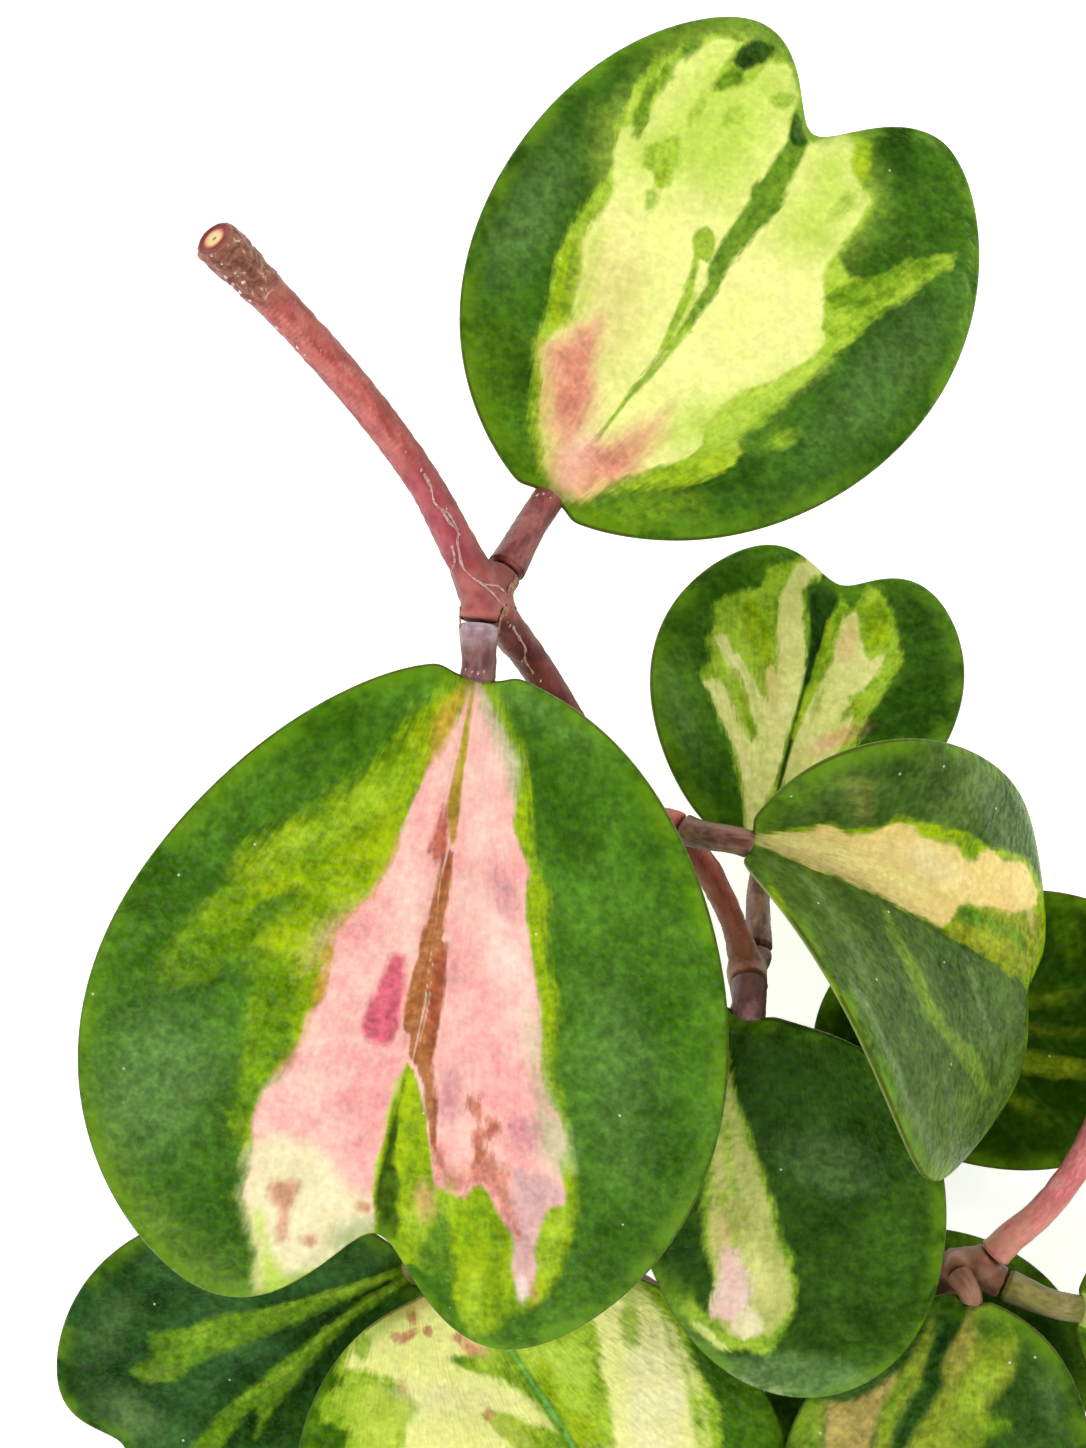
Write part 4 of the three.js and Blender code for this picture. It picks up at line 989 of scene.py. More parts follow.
def make_leaf_skin():
    """Colour in, finished colour, roughness and bump height out. Rim is the distance from it in mm."""
    tree, given, out = new_group(
        "leaf_skin",
        [("Colour", "Color", None), ("Place", "Vector", None), ("Growth", "Vector", None),
         ("Rim", "Float", 9.0), ("Below", "Float", 0.0), ("Vein", "Float", 0.0)],
        [("Colour", "Color"), ("Roughness", "Float"), ("Height", "Float")])
    place, from_rim = given["Place"], given["Rim"]
    cells = add_noise(tree, place, 1150, 1.0, 0.55)
    patches = add_noise(tree, place, 130, 3.0, 0.55)
    pits = add_noise(tree, place, 900, 0.0)
    pebbles = add_noise(tree, place, 620, 1.0)
    streak = add_noise(tree, stretched(tree, given["Growth"], (6.0, 2.5, 1.0)), 1.0)

    light = add_range(tree, cells, 0.28, 0.72, 0.84, 1.16)
    # pebbles lighten and darken the tone: painted shading of their bumps
    light = add_math(tree, "MULTIPLY", light, add_range(tree, pebbles, 0.3, 0.7, 0.8, 1.2))
    light = add_math(tree, "MULTIPLY", light, add_range(tree, patches, 0.3, 0.7, 0.84, 1.16))
    bright = add_node(tree, "ShaderNodeRGBToBW", {0: given["Colour"]}).outputs[0]
    tone = add_mix(tree, add_range(tree, bright, 0.12, 0.6, 1.0, 0.25), given["Colour"], light, "MULTIPLY")
    specks = add_cells(tree, place, 260)
    small = add_range(tree, specks["Distance"], 0.07, 0.03)
    chance = add_node(tree, "ShaderNodeSeparateColor", {0: specks["Color"]}).outputs[0]
    dust = add_math(tree, "MULTIPLY", small, add_range(tree, chance, 0.62, 0.66))
    near_rim = add_range(tree, from_rim, 3.6, 0.4, 0.0, 0.6)
    # a dark brown line at the very edge: partly the rim's own brown, partly painted shade along the edge
    brown_and_shaded_rim = add_range(tree, from_rim, 0.4, 0.1, 0.0, 0.75)
    for mask, strength, wash in (
            (given["Vein"], 0.04, (150, 190, 90)),
            (near_rim, add_range(tree, patches, 0.36, 0.6), (112, 156, 18)),
            (brown_and_shaded_rim, add_range(tree, patches, 0.38, 0.55, 0.2, 1.0), (70, 62, 20)),
            (dust, 0.75, (220, 228, 206)),
            (given["Below"], 0.5, (150, 170, 104))):
        tone = add_mix(tree, add_math(tree, "MULTIPLY", mask, strength), tone, colour(*wash))
    tree.links.new(tone, out["Colour"])

    rough = add_range(tree, patches, 0.3, 0.7, 0.24, 0.34)
    tree.links.new(add_math(tree, "MULTIPLY_ADD", dust, 0.2, rough), out["Roughness"])
    height = pebbles
    for bumps, share in ((pits, 0.5), (cells, 0.35), (streak, 0.5)):
        height = add_math(tree, "MULTIPLY_ADD", bumps, share, height)
    tree.links.new(height, out["Height"])
    return tree


growth_noise, zone_edge, leaf_skin = make_growth(), make_zone_edge(), make_leaf_skin()
print("node groups:", growth_noise.name, zone_edge.name, leaf_skin.name)

# %% [markdown]
# ## One material for each leaf
# The zones lie on each other like thin washes of paint. Each wash has a light and a dark tone that a soft
# mottle mixes, because no zone of a real leaf is one flat colour.

# %% Leaf materials
USUAL_GLOSS = 0.18
OWN_GLOSS = {"folded": 0.05, "right": 0.06, "middle": 0.15, "upper": 0.15}


def make_leaf_material(name):
    """Green at the bottom, then each zone of that leaf over it, then the waxy skin."""
    (light, dark), zones = ZONES[name]
    material, tree, surface = new_material("skin_" + name)
    place = object_place(tree)
    growth = read_field(tree, "growth", "Vector")
    tongues = use_group(tree, growth_noise, {"Place": growth})
    cloud = add_noise(tree, place, 150, 3.0, 0.6)
    fine = add_noise(tree, place, 1100, 3.0, 0.6)
    mottle = add_math(tree, "MULTIPLY_ADD", tongues["Streak"], 0.4, cloud)
    mottle = add_range(tree, add_math(tree, "MULTIPLY_ADD", fine, 0.55, mottle), 0.52, 1.02)
    green = add_range(tree, add_noise(tree, place, 70, 3.0, 0.6), 0.3, 0.7)
    washed = add_mix(tree, green, colour(*dark), colour(*light))
    for number, (paint, reach, softness, strength, _) in enumerate(zones):
        light, dark = PAINTS[paint]
        tone = add_mix(tree, mottle, colour(*dark), colour(*light))
        mask = use_group(tree, zone_edge, {
            "Depth": read_field(tree, f"zone_{number}"), "Wide": tongues["Wide"], "Narrow": tongues["Narrow"],
            "Reach": reach, "Softness": softness, "Strength": strength})["Mask"]
        washed = add_mix(tree, mask, washed, tone)
    skin = use_group(tree, leaf_skin, {
        "Colour": washed, "Place": place, "Growth": growth, "Rim": read_field(tree, "rim"),
        "Below": read_field(tree, "below"), "Vein": read_field(tree, "vein")})
    finish_surface(tree, surface, skin["Colour"], skin["Roughness"], skin["Height"], 0.7, 0.0005)
    feed(tree, surface.inputs, {"Specular IOR Level": OWN_GLOSS.get(name, USUAL_GLOSS)})
    return material


# %% [markdown]
# ## The eleven leaves
# Each leaf's mesh stands for its plain blade. Its growth field is the place that the tongues' noise is read
# at: the angle and the distance from a point a little way down the stalk, where growth seems to start, and
# a number of the leaf's own, so that no two leaves share their noise.

# %% The leaves
GROWTH_START = 0.22  # how far before the blade its growth seems to start, as a share of its length
ANGLE_SCALE, AWAY_SCALE, LEAF_STEP = 13, 11, 3.7  # noise units a radian, a leaf's length and a leaf


def vein_lines(u, v):
    """1 on a side vein and 0 between: narrow peaks of the vein wave."""
    return np.exp((vein_wave(u, v) - 1) / 0.05) * smooth(np.abs(u) / 0.05)


def make_leaf(name, number):
    """One leaf: its grid, its fields and its material, standing for the plain blade."""
    leaf = LEAVES[name]
    spokes, rings = (300, 44) if leaf["length"] > 70 else (240, 34)
    points, faces, x, y, rim, below = leaf_grid(leaf, spokes, rings)
    piece = new_piece("leaf_" + name, points, faces, make_leaf_material(name))
    u, v = x / leaf["length"], y / leaf["length"]
    angle = np.arctan2(u, v + GROWTH_START) * ANGLE_SCALE
    away = np.hypot(u, v + GROWTH_START) * AWAY_SCALE
    growth = np.stack([angle, away, np.full_like(u, number * LEAF_STEP)], -1)
    zones = {f"zone_{i}": zone_depth(u * 1000, v * 1000, zone[4]) for i, zone in enumerate(ZONES[name][1])}
    add_fields(piece, growth=growth, rim=rim, below=below, vein=vein_lines(u, v), **zones)
    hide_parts("blade_" + name)
    return piece


leaves = {name: make_leaf(name, number) for number, name in enumerate(LEAVES)}
print("leaf faces:", sum(len(piece.data.polygons) for piece in leaves.values()))

# %% [markdown]
# ## Paths of stem and stalks
# A stem is a round bar along a curve whose radius swells at the nodes. The curves pass through the same
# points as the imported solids' do, so the finer bars lie where the solids lie.

# %% Paths, in millimetres: x, y, z, radius
NODE_1 = (-35.2, 41.0, 43.5)
NODE_2 = (-12.6, 9.1, 35.5)
NODE_3 = (2, -12.1, 32)
FORK = (-2.8, -66.2, 6.9)
RIGHT_NODE = (35.6, -57.4, 11)
LEFT_NODE = (-37.9, -49.8, 8.6)
BACK_NODE = (9.3, -36.5, 5.5)

STEM_RUNS = {
    "upper": [
        (-71.1, 88.1, 61, 3.0), (-69.5, 86.5, 59, 3.15), (-66, 83.1, 56, 2.8), (-62.3, 79.4, 53.5, 2.7),
        (-58.6, 75.5, 51.5, 2.65), (-51.7, 67.6, 48.6, 2.55), (-43.7, 56.8, 46, 2.45),
        (-38.1, 46.5, 44.4, 2.7), (*NODE_1, 3.5), (-33.6, 38.4, 41.6, 3.0)],
    "middle": [
        (*NODE_1, 2.6), (-31.9, 36.3, 39.4, 2.6), (-28.6, 32, 37, 2.4), (-24.6, 25.7, 36.2, 2.35),
        (-19.7, 16.8, 35.8, 2.4), (*NODE_2, 2.9), (-5.2, 4.1, 34.5, 2.1), (-1.6, -1.6, 33.8, 1.9),
        (0, -5.2, 33.2, 1.8), (1.4, -9.5, 32.5, 2.2), (*NODE_3, 2.9), (2.6, -18, 27.5, 2.5),
        (2, -28.8, 20, 2.6), (0.9, -39.8, 14, 3.0), (-0.3, -52.4, 9.2, 2.8), (*FORK, 3.3),
        (-4.2, -75.4, 5.2, 2.9), (-5.8, -84.7, 4.3, 3.0)],
    "left": [(*FORK, 2.6), (-12.5, -61.8, 6.6, 2.4), (-24.5, -52.5, 7.2, 2.4), (*LEFT_NODE, 3.2)],
    "right": [
        (*FORK, 2.6), (1.7, -69.3, 8, 2.5), (9.8, -70.3, 8.8, 2.4), (20.1, -67.4, 9.4, 2.4),
        (30.4, -61, 10.4, 2.7), (*RIGHT_NODE, 3.4)],
    "back": [(0.4, -46, 11.8, 2.2), (4.7, -42.2, 8, 2.3), (*BACK_NODE, 2.9)],
}
STALKS = {
    "front": (NODE_1, (-35.8, 36.9, 45.7), (-0.1, -1, 0.1), (2.75, 2.35)),
    "upper": (NODE_1, (-32.3, 44.4, 42), (0.45, 0.8, -0.45), (2.6, 2.2)),
    "folded": (NODE_2, (-7.4, 8.3, 39.2), (0.85, -0.35, 0.4), (2.1, 1.9)),
    "back": (NODE_3, (3.9, -9.4, 28.4), (0.05, 0.8, -0.6), (1.9, 1.7)),
    "middle": (NODE_3, (2.1, -13.9, 34.9), (0, -0.5, 0.85), (2.6, 2.2)),
    "right": (BACK_NODE, (11.2, -31.9, 5.2), (0.3, 0.9, 0), (2.2, 1.9)),
    "bottom": (LEFT_NODE, (-38, -53.4, 11.4), (-0.1, -0.7, 0.7), (2.3, 2.0)),
    "left": (LEFT_NODE, (-41.5, -52.6, 9), (-0.8, -0.6, 0), (2.3, 2.0)),
    "low_right": (RIGHT_NODE, (34.3, -58.2, 15.1), (0.3, -0.6, 0.8), (2, 1.6)),
    "far_right": (RIGHT_NODE, (41.4, -60, 12.2), (0.9, -0.4, 0.1), (2.4, 2.0)),
    "under": (FORK, (2.4, -65.7, 4.4), (0.9, 0, -0.3), (1.9, 1.7)),
}
RUNNER = [
    (39.6, -55.5, 13.5, 2.5), (42.1, -52.8, 14.2, 2.3), (46, -49.4, 15, 2.2), (49.9, -44.9, 14.8, 2.15),
    (53.2, -39.8, 14.4, 2.1), (56.6, -31.6, 14.4, 2.0), (58.6, -26, 15, 2.3), (59.6, -23.2, 15.5, 1.4),
    (60.1, -21.6, 15.8, 0.5)]
print("runs:", len(STEM_RUNS), "stalks:", len(STALKS))

# %% [markdown]
# ## Curves and bars
# A few listed points only become a plant when a smooth curve joins them. Stem and runner pass through all
# their points, and a stalk only needs its two ends and the way it leaves and arrives. A bar is then a
# circle carried along the curve. Extruding a curve object would give the same tube, but its points
# wouldn't be at hand for the relief and the fields.

# %% Curves and bars
def through(points, step):
    """A smooth curve through points, with the radius between them: a centripetal Catmull-Rom spline.

    Each stretch between two points is a cubic whose slopes come from the neighbours, weighted by the
    square roots of the distances. Returns the places and radii about step apart."""
    points = np.array(points, float)
    place, radius = points[:, :3], points[:, 3]
    padded = np.concatenate([[2 * place[0] - place[1]], place, [2 * place[-1] - place[-2]]])
    gaps = np.sqrt(np.linalg.norm(np.diff(padded, axis=0), axis=1))
    places, radii = [], []
    for i in range(len(place) - 1):
        a, b, c = gaps[i], gaps[i + 1], gaps[i + 2]
        p0, p1, p2, p3 = padded[i:i + 4]
        slope_1 = ((p1 - p0) / a - (p2 - p0) / (a + b) + (p2 - p1) / b) * b
        slope_2 = ((p2 - p1) / b - (p3 - p1) / (b + c) + (p3 - p2) / c) * b
        steps = max(2, int(np.linalg.norm(p2 - p1) / step))
        t = (np.arange(steps) / steps)[:, None]
        curve = (2 * t**3 - 3 * t**2 + 1) * p1 + (t**3 - 2 * t**2 + t) * slope_1
        places.append(curve + (3 * t**2 - 2 * t**3) * p2 + (t**3 - t**2) * slope_2)
        radii.append(radius[i] + (radius[i + 1] - radius[i]) * smooth(t[:, 0]))
    return np.concatenate(places + [place[-1:]]), np.concatenate(radii + [radius[-1:]])


def bend_between(start, leaving, end, arriving, radii, step):
    """A cubic Bezier curve that leaves and arrives along given directions, with an even taper."""
    start, end = np.array(start, float), np.array(end, float)
    handle = 0.38 * np.linalg.norm(end - start)
    a = start + unit(np.array(leaving, float)) * handle
    b = end - unit(np.array(arriving, float)) * handle
    steps = max(6, int(np.linalg.norm(end - start) / step))
    t = np.linspace(0, 1, steps + 1)[:, None]
    place = (1 - t)**3 * start + 3 * (1 - t)**2 * t * a + 3 * (1 - t) * t**2 * b + t**3 * end
    return place, radii[0] + (radii[1] - radii[0]) * t[:, 0]


END_ROWS = 4  # rows that round off each end of a bar


def stations(count):
    """Which station of a path each row of its bar belongs to: the rows of an end share one."""
    ends = np.zeros(END_ROWS, int)
    return np.concatenate([ends, np.arange(1, count - 1), ends + count - 1])


def bar(place, radius, sides, edge):
    """A closed round bar along a path. edge is how far its ends' edges are rounded, in radii.

    Each row is a circle across the path. Its first direction is a fixed axis, the one that the path runs
    least along, made square to the path. Returns the rows and the end points."""
    along = unit(np.gradient(place, axis=0))
    axis = np.eye(3)[np.argmin(np.abs(place[-1] - place[0]))]
    first = unit(axis - along * (along @ axis)[:, None])
    second = np.cross(along, first)
    turn = np.linspace(0, np.pi / 2, END_ROWS + 1)[:-1]
    narrow = 1 - edge + edge * np.sin(turn)
    inwards = edge * (1 - np.cos(turn))[:, None]
    shrink = np.concatenate([narrow, np.ones(len(place) - 2), narrow[::-1]])
    head = place[0] + along[0] * radius[0] * inwards
    tail = place[-1] - along[-1] * radius[-1] * inwards[::-1]
    path = np.concatenate([head, place[1:-1], tail])
    pick = stations(len(place))
    size = (radius[pick] * shrink)[:, None, None]
    return path[:, None] + circles(first[pick], second[pick], sides) * size, place[0], place[-1]


# %% [markdown]
# ## Streaky skin
# The stem's skin is rosy brown with darker streaks along it. The stalks are smoother: purple-brown ones
# above and pale green-tan ones below. One node group makes the streaky skin for all of them. Round bars in
# even light look flat, so the skin is darker where it faces sideways.

# %% Streaky skin group
def darken_sides(tree, tone, up):
    """Painted shade and light on a round bar: darker facing sideways, lighter facing up. up is 1 facing
    straight up.
    """
    return add_mix(tree, 1.0, tone, add_range(tree, up, 0.0, 0.9, 0.5, 1.12, False), "MULTIPLY")


def make_streaky_skin():
    """Three tones in, mixed by long streaks, blotches and pores. Growth's y runs along the stem."""
    tree, given, out = new_group(
        "streaky_skin",
        [("Place", "Vector", None), ("Growth", "Vector", None), ("Main", "Color", None),
         ("Dark", "Color", None), ("Light", "Color", None), ("Up", "Float", 1.0)],
        [("Colour", "Color"), ("Roughness", "Float"), ("Height", "Float")])
    long_place = stretched(tree, given["Growth"], (1.0, 0.16, 1.0))
    streaks = add_noise(tree, long_place, 1.6, 4.0, 0.6, 0.2)
    fine = add_noise(tree, long_place, 5.0, 3.0, 0.6)
    blotch = add_noise(tree, given["Place"], 240, 3.0, 0.6)
    grain = add_noise(tree, given["Place"], 1500, 2.0, 0.6)
    pores = add_cells(tree, given["Place"], 420)["Distance"]
    tone = add_mix(tree, add_range(tree, streaks, 0.42, 0.62), given["Main"], given["Dark"])
    tone = add_mix(tree, add_range(tree, blotch, 0.52, 0.72, 0.0, 0.75), tone, given["Light"])
    tone = add_mix(tree, 1.0, tone, add_range(tree, fine, 0.3, 0.7, 0.86, 1.14), "MULTIPLY")
    tone = add_mix(tree, add_range(tree, pores, 0.1, 0.04, 0.0, 0.5), tone, given["Dark"])
    # painted shade: darker on the sides, a little lighter on top
    tree.links.new(darken_sides(tree, tone, given["Up"]), out["Colour"])
    tree.links.new(add_range(tree, blotch, 0.3, 0.7, 0.38, 0.55), out["Roughness"])
    height = add_math(tree, "MULTIPLY_ADD", fine, 0.5, add_math(tree, "MULTIPLY", grain, 0.3))
    tree.links.new(add_math(tree, "MULTIPLY_ADD", blotch, 0.5, height), out["Height"])
    return tree


streaky_skin = make_streaky_skin()


def use_streaky_skin(tree, place, main, dark, light, **more):
    """The streaky skin with its three tones, following the piece's own growth field."""
    return use_group(tree, streaky_skin, {
        "Place": place, "Growth": read_field(tree, "growth", "Vector"),
        "Main": colour(*main), "Dark": colour(*dark), "Light": colour(*light), **more})


# %% [markdown]
# ## Stalk and runner materials
# Every stalk of the plant has its own tint of the same skin, so each tint is three tones in a table. A
# fourth tone is a bloom that fades along the stalk: the pale wax on the highest stalk, and the browner
# start of the runner.

# %% Stalk and runner materials
def make_stalk_material(name, main, dark, light, tip=None, tip_strength=0.0):
    """A smooth streaky stalk. tip is a bloom of another colour that fades along the stalk."""
    material, tree, surface = new_material(name)
    place = object_place(tree)
    # Up feeds the painted shade on the stalk's sides
    skin = use_streaky_skin(tree, place, main, dark, light, Up=read_field(tree, "up"))
    tone = skin["Colour"]
    if tip:
        bloom = add_range(tree, read_field(tree, "along"), 0.45, 0.0, 0.0, tip_strength)
        cloud = add_range(tree, add_noise(tree, place, 500, 3.0), 0.35, 0.65, 0.3, 1.0)
        tone = add_mix(tree, add_math(tree, "MULTIPLY", bloom, cloud), tone, colour(*tip))
    finish_surface(tree, surface, tone, skin["Roughness"], skin["Height"], 0.4, 0.0003)
    return material


STALK_SKINS = {name: make_stalk_material(name, *tones) for name, tones in {
    "stalk_plum": ((134, 90, 86), (106, 64, 64), (156, 116, 112), (204, 184, 198), 0.8),
    "stalk_red": ((146, 78, 70), (116, 54, 46), (172, 108, 100)),
    "stalk_tan": ((130, 90, 72), (92, 54, 40), (164, 126, 108)),
    "stalk_mauve": ((128, 82, 82), (84, 46, 44), (170, 120, 124)),
    "stalk_green": ((138, 130, 68), (116, 108, 48), (158, 146, 94)),
    "runner_pink": ((218, 132, 128), (200, 104, 108), (230, 158, 150), (192, 138, 104), 0.95),
    "stalk_pad": ((154, 110, 84), (130, 88, 64), (172, 128, 102)),
}.items()}
print("stalk and runner materials:", ", ".join(STALK_SKINS))

# %% [markdown]
# ## Stalks
# A leaf stalk is jointed to its node by a thick cushion, narrows, and runs into the edge of the blade.
# It is a bar along a curve that leaves along the joint and arrives along the midrib.

# %% Stalks
STALK_LOOKS = {
    "front": "plum", "upper": "red", "folded": "tan", "back": "tan", "middle": "mauve", "right": "tan",
    "bottom": "green", "left": "green", "low_right": "pad", "far_right": "green", "under": "green"}
SHOOT_SIDES = 48
SHOOT_EDGE = 0.35  # how far a shoot's ends are rounded, in radii


def growth_along(place, sides):
    """Noise places that follow a bar: x and z go round it, y runs along it in millimetres."""
    travelled = lengths_along(place)
    x_axis, y_axis, z_axis = np.eye(3)
    along = travelled[stations(len(place))][:, None] * y_axis
    ones = np.ones((len(along), 1))
    grid = along[:, None] + circles(ones * x_axis, ones * z_axis, sides)
    return np.concatenate([[[0, 0, 0]], grid.reshape(-1, 3), [travelled[-1] * y_axis]])


def make_shoot(name, place, radius, relief, material):
    """A round shoot along a path, with relief added and with the fields that its material reads.

    relief turns the points and their growth places into millimetres that the skin moves outwards."""
    rows, first, last = bar(place, radius, SHOOT_SIDES, SHOOT_EDGE)
    points, faces = closed_grid(rows, first, last)
    centre = np.concatenate([[first], np.repeat(rows.mean(1), SHOOT_SIDES, 0), [last]])
    growth = growth_along(place, SHOOT_SIDES)
    points = points + unit(points - centre) * relief(points, growth)[:, None]
    piece = new_piece(name, points, faces, material)
    length = growth[-1, 1]
    add_fields(piece, growth=growth, along=growth[:, 1] / length, up=unit(points - centre)[:, 2])
    return piece


def stalk_relief(points, growth):
    """Long low ridges along the stalk and small lumps."""
    ridges = ripples(growth * np.array([2.0, 0.35, 2.0]), 1.6, 5)
    return 0.03 * ridges + 0.03 * ripples(points, 1.5, 6)


def make_stalk(name):
    """A stalk from its joint to just inside the blade's edge, with a cushion at the joint."""
    _, joint, lead, radii = STALKS[name]
    leaf = LEAVES[name]
    turn = lay_turn(leaf)
    _, dip = rim_point(leaf, np.zeros(1))
    inward = turn @ np.array([0, 1.0, 0])
    end = turn @ np.array([0, dip[0] - 0.5, 0]) + np.array(leaf["base"]) + inward * 0.9
    place, radius = bend_between(joint, lead, end, inward, radii, 0.35)
    share = np.linspace(0, 1, len(place))
    cushion = 0.05 * np.exp(-((share / 0.22) ** 2))
    waist = 0.03 * np.exp(-(((share - 0.5) / 0.3) ** 2))
    collar = 0.04 * np.exp(-(((share - 0.93) / 0.08) ** 2))
    radius = radius * (1 + cushion - waist) * (1 + collar)
    look = STALK_LOOKS[name]
    piece = make_shoot("petiole_" + name, place, radius, stalk_relief, STALK_SKINS["stalk_" + look])
    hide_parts("stalk_" + name)
    return piece


petioles = {name: make_stalk(name) for name in STALKS}
print("stalks:", len(petioles))

# %% [markdown]
# ## The young runner
# The youngest shoot is smooth and pink, browner where it leaves the node, and ends in a closed bud.

# %% Runner
def runner_relief(points, _):
    """Soft lumps of two sizes. The runner has no ridges along it, so its growth places aren't used."""
    return 0.04 * ripples(points, 3.0, 8) + 0.02 * ripples(points, 1.2, 9)


def make_runner():
    """The runner as one bar through its points."""
    place, radius = through(RUNNER, 0.4)
    piece = make_shoot("young_runner", place, radius, runner_relief, STALK_SKINS["runner_pink"])
    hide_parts("pink_runner")
    return piece


runner = make_runner()
print("runner points:", len(runner.data.vertices))

# %% [markdown]
# ## The woody stem
# The stem and its side shoots grew as one piece, with smooth swollen joints. Many bars that only pass
# through each other would show hard creases there. So the bars are joined, Blender's voxel remesh melts
# them into one skin, and numpy smooths the creases and adds the bark's relief.

# %% Woody stem
STEM_SIDES = 40
STEM_EDGE = 0.12  # how far a run's ends are rounded, in radii
STEM_STEP = 0.5  # millimetres between the stations of a run
RUN_OFFSET = 200.0  # added to the lengths of each next run, so that no two runs share their noise


def stem_bars():
    """The bars of all runs and of the stubs that carry the stalks, as points and faces."""
    paths = [through(run, STEM_STEP) for run in STEM_RUNS.values()]
    stubs = [(node, joint, lead, radii[0]) for node, joint, lead, radii in STALKS.values()]
    lead = np.array(RUNNER[1][:3]) - np.array(RUNNER[0][:3])
    stubs.append((RIGHT_NODE, RUNNER[0][:3], lead, RUNNER[0][3]))
    for node, joint, lead, radius in stubs:
        lead = unit(np.array(lead, float))
        end = np.array(joint) - lead * 0.3
        outward = unit(end - np.array(node))
        start = np.array(node) - outward * 1.2
        radii = (radius + 0.3, radius + 0.1)
        paths.append(bend_between(start, outward, end, lead, radii, STEM_STEP))
    return joined([closed_grid(*bar(place, radius, STEM_SIDES, STEM_EDGE)) for place, radius in paths])


def melt(points, faces, voxel):
    """One closed skin round overlapping closed bars, by Blender's voxel remesh. Returns its arrays."""
    mesh = bpy.data.meshes.new("bars")
    mesh.from_pydata((points * MM).tolist(), [], faces)
    rough = bpy.data.objects.new("bars", mesh)
    bpy.context.scene.collection.objects.link(rough)
    remesh = rough.modifiers.new("melt", "REMESH")
    remesh.mode = "VOXEL"
    remesh.voxel_size = voxel * MM
    melted = bpy.data.meshes.new_from_object(rough.evaluated_get(bpy.context.evaluated_depsgraph_get()))
    skin, quads = mesh_points(melted), mesh_faces(melted)
    edges = np.zeros(len(melted.edges) * 2, np.int32)
    melted.edges.foreach_get("vertices", edges)
    bpy.data.objects.remove(rough)
    bpy.data.meshes.remove(melted)
    return skin, quads, edges.reshape(-1, 2)


def relax(points, edges, rounds, share):
    """Moves each point towards the middle of its neighbours, a share of the way, several times."""
    count = np.bincount(edges.ravel(), minlength=len(points))[:, None]
    for _ in range(rounds):
        total = np.stack([
            np.bincount(edges[:, 0], points[edges[:, 1], i], len(points))
            + np.bincount(edges[:, 1], points[edges[:, 0], i], len(points)) for i in range(3)], -1)
        points = points + (total / count - points) * share
    return points


def nearest_on_paths(points):
    """For each point the nearest station of any run: its travelled length, its place and its run."""
    best = np.full(len(points), 1e9)
    travelled = np.zeros(len(points))
    centre = np.zeros_like(points)
    which = np.zeros(len(points))
    for number, run in enumerate(STEM_RUNS.values()):
        place, _ = through(run, 0.7)
        length = lengths_along(place) + number * RUN_OFFSET
        away = ((points[:, None] - place[None]) ** 2).sum(-1)
        pick = away.argmin(1)
        nearer = away.min(1) < best
        best = np.where(nearer, away.min(1), best)
        travelled = np.where(nearer, length[pick], travelled)
        centre = np.where(nearer[:, None], place[pick], centre)
        which = np.where(nearer, number, which)
    return travelled, centre, which


rough_points, rough_faces = stem_bars()
stem_points, stem_faces, stem_edges = melt(rough_points, rough_faces, 0.3)
stem_points = relax(stem_points, stem_edges, 6, 0.5)
print("stem points:", len(stem_points))

# %% [markdown]
# ## Bark relief and the stem's places
# The cut end shows pale wood with a dark pith inside a ring of bark, then a scaly crust. Further down, the
# young bark is crimson, then maroon, and the old bark below is brown. Each of these is a field, mostly from
# 0 to 1, that says for every point of the stem how much it belongs to that place: how far it is from a
# node, from the cut or from the axis, how high it lies, or which way it faces. Fields move the skin here
# and tell the material in the next cell what is where.

# %% Bark relief
CUT, BELOW_CUT = np.array(STEM_RUNS["upper"])[:2, :3]
CUT_OUT = unit(CUT - BELOW_CUT)

travelled, centre, which = nearest_on_paths(stem_points)
outward = unit(stem_points - centre)
past_cut = (stem_points - CUT) @ CUT_OUT
from_cut = np.linalg.norm(stem_points - CUT, axis=1)
from_axis = np.linalg.norm((stem_points - CUT) - past_cut[:, None] * CUT_OUT, axis=1)
on_face = smooth((past_cut + 0.35) / 0.25) * (from_cut < 5)
crust = smooth((13.5 - from_cut) / 5) * (1 - on_face)
bark = 0.05 * ripples(stem_points, 2.2, 21) + 0.03 * ripples(stem_points, 0.9, 22)
bark += crust * (0.16 * np.abs(ripples(stem_points, 1.6, 23)) + 0.08 * ripples(stem_points, 0.7, 24))
push = outward * (bark * (1 - on_face))[:, None]
dish = 0.22 * np.exp(-(((from_axis - 1.95) / 0.28) ** 2))  # a groove inside the bark
dish += 0.1 * smooth((2.0 - from_axis) / 1.8)  # the wood sinks towards its middle
dish += 0.12 * np.exp(-((from_axis / 0.3) ** 2))  # and the pith lies deeper still
push -= CUT_OUT[None] * (dish * on_face)[:, None]
stem_points = stem_points + push
node_places = np.array([NODE_1, NODE_2, NODE_3, FORK, RIGHT_NODE, LEFT_NODE, BACK_NODE], float)
from_node = np.linalg.norm(stem_points[:, None] - node_places, axis=-1).min(1)
near_node = np.exp(-((from_node / 4.5) ** 2))
print("points on the cut face:", int((on_face > 0.5).sum()))

# %% [markdown]
# ## The stem's material
# Over the streaky skin comes a wash of two tones for each place: a painted highlight along the top,
# crimson, maroon and brown bark, tan nodes and a shaded side. Then come the crust with its flakes of
# white dried sap, and the cut face, where a colour ramp over the distance from the axis gives the rings.

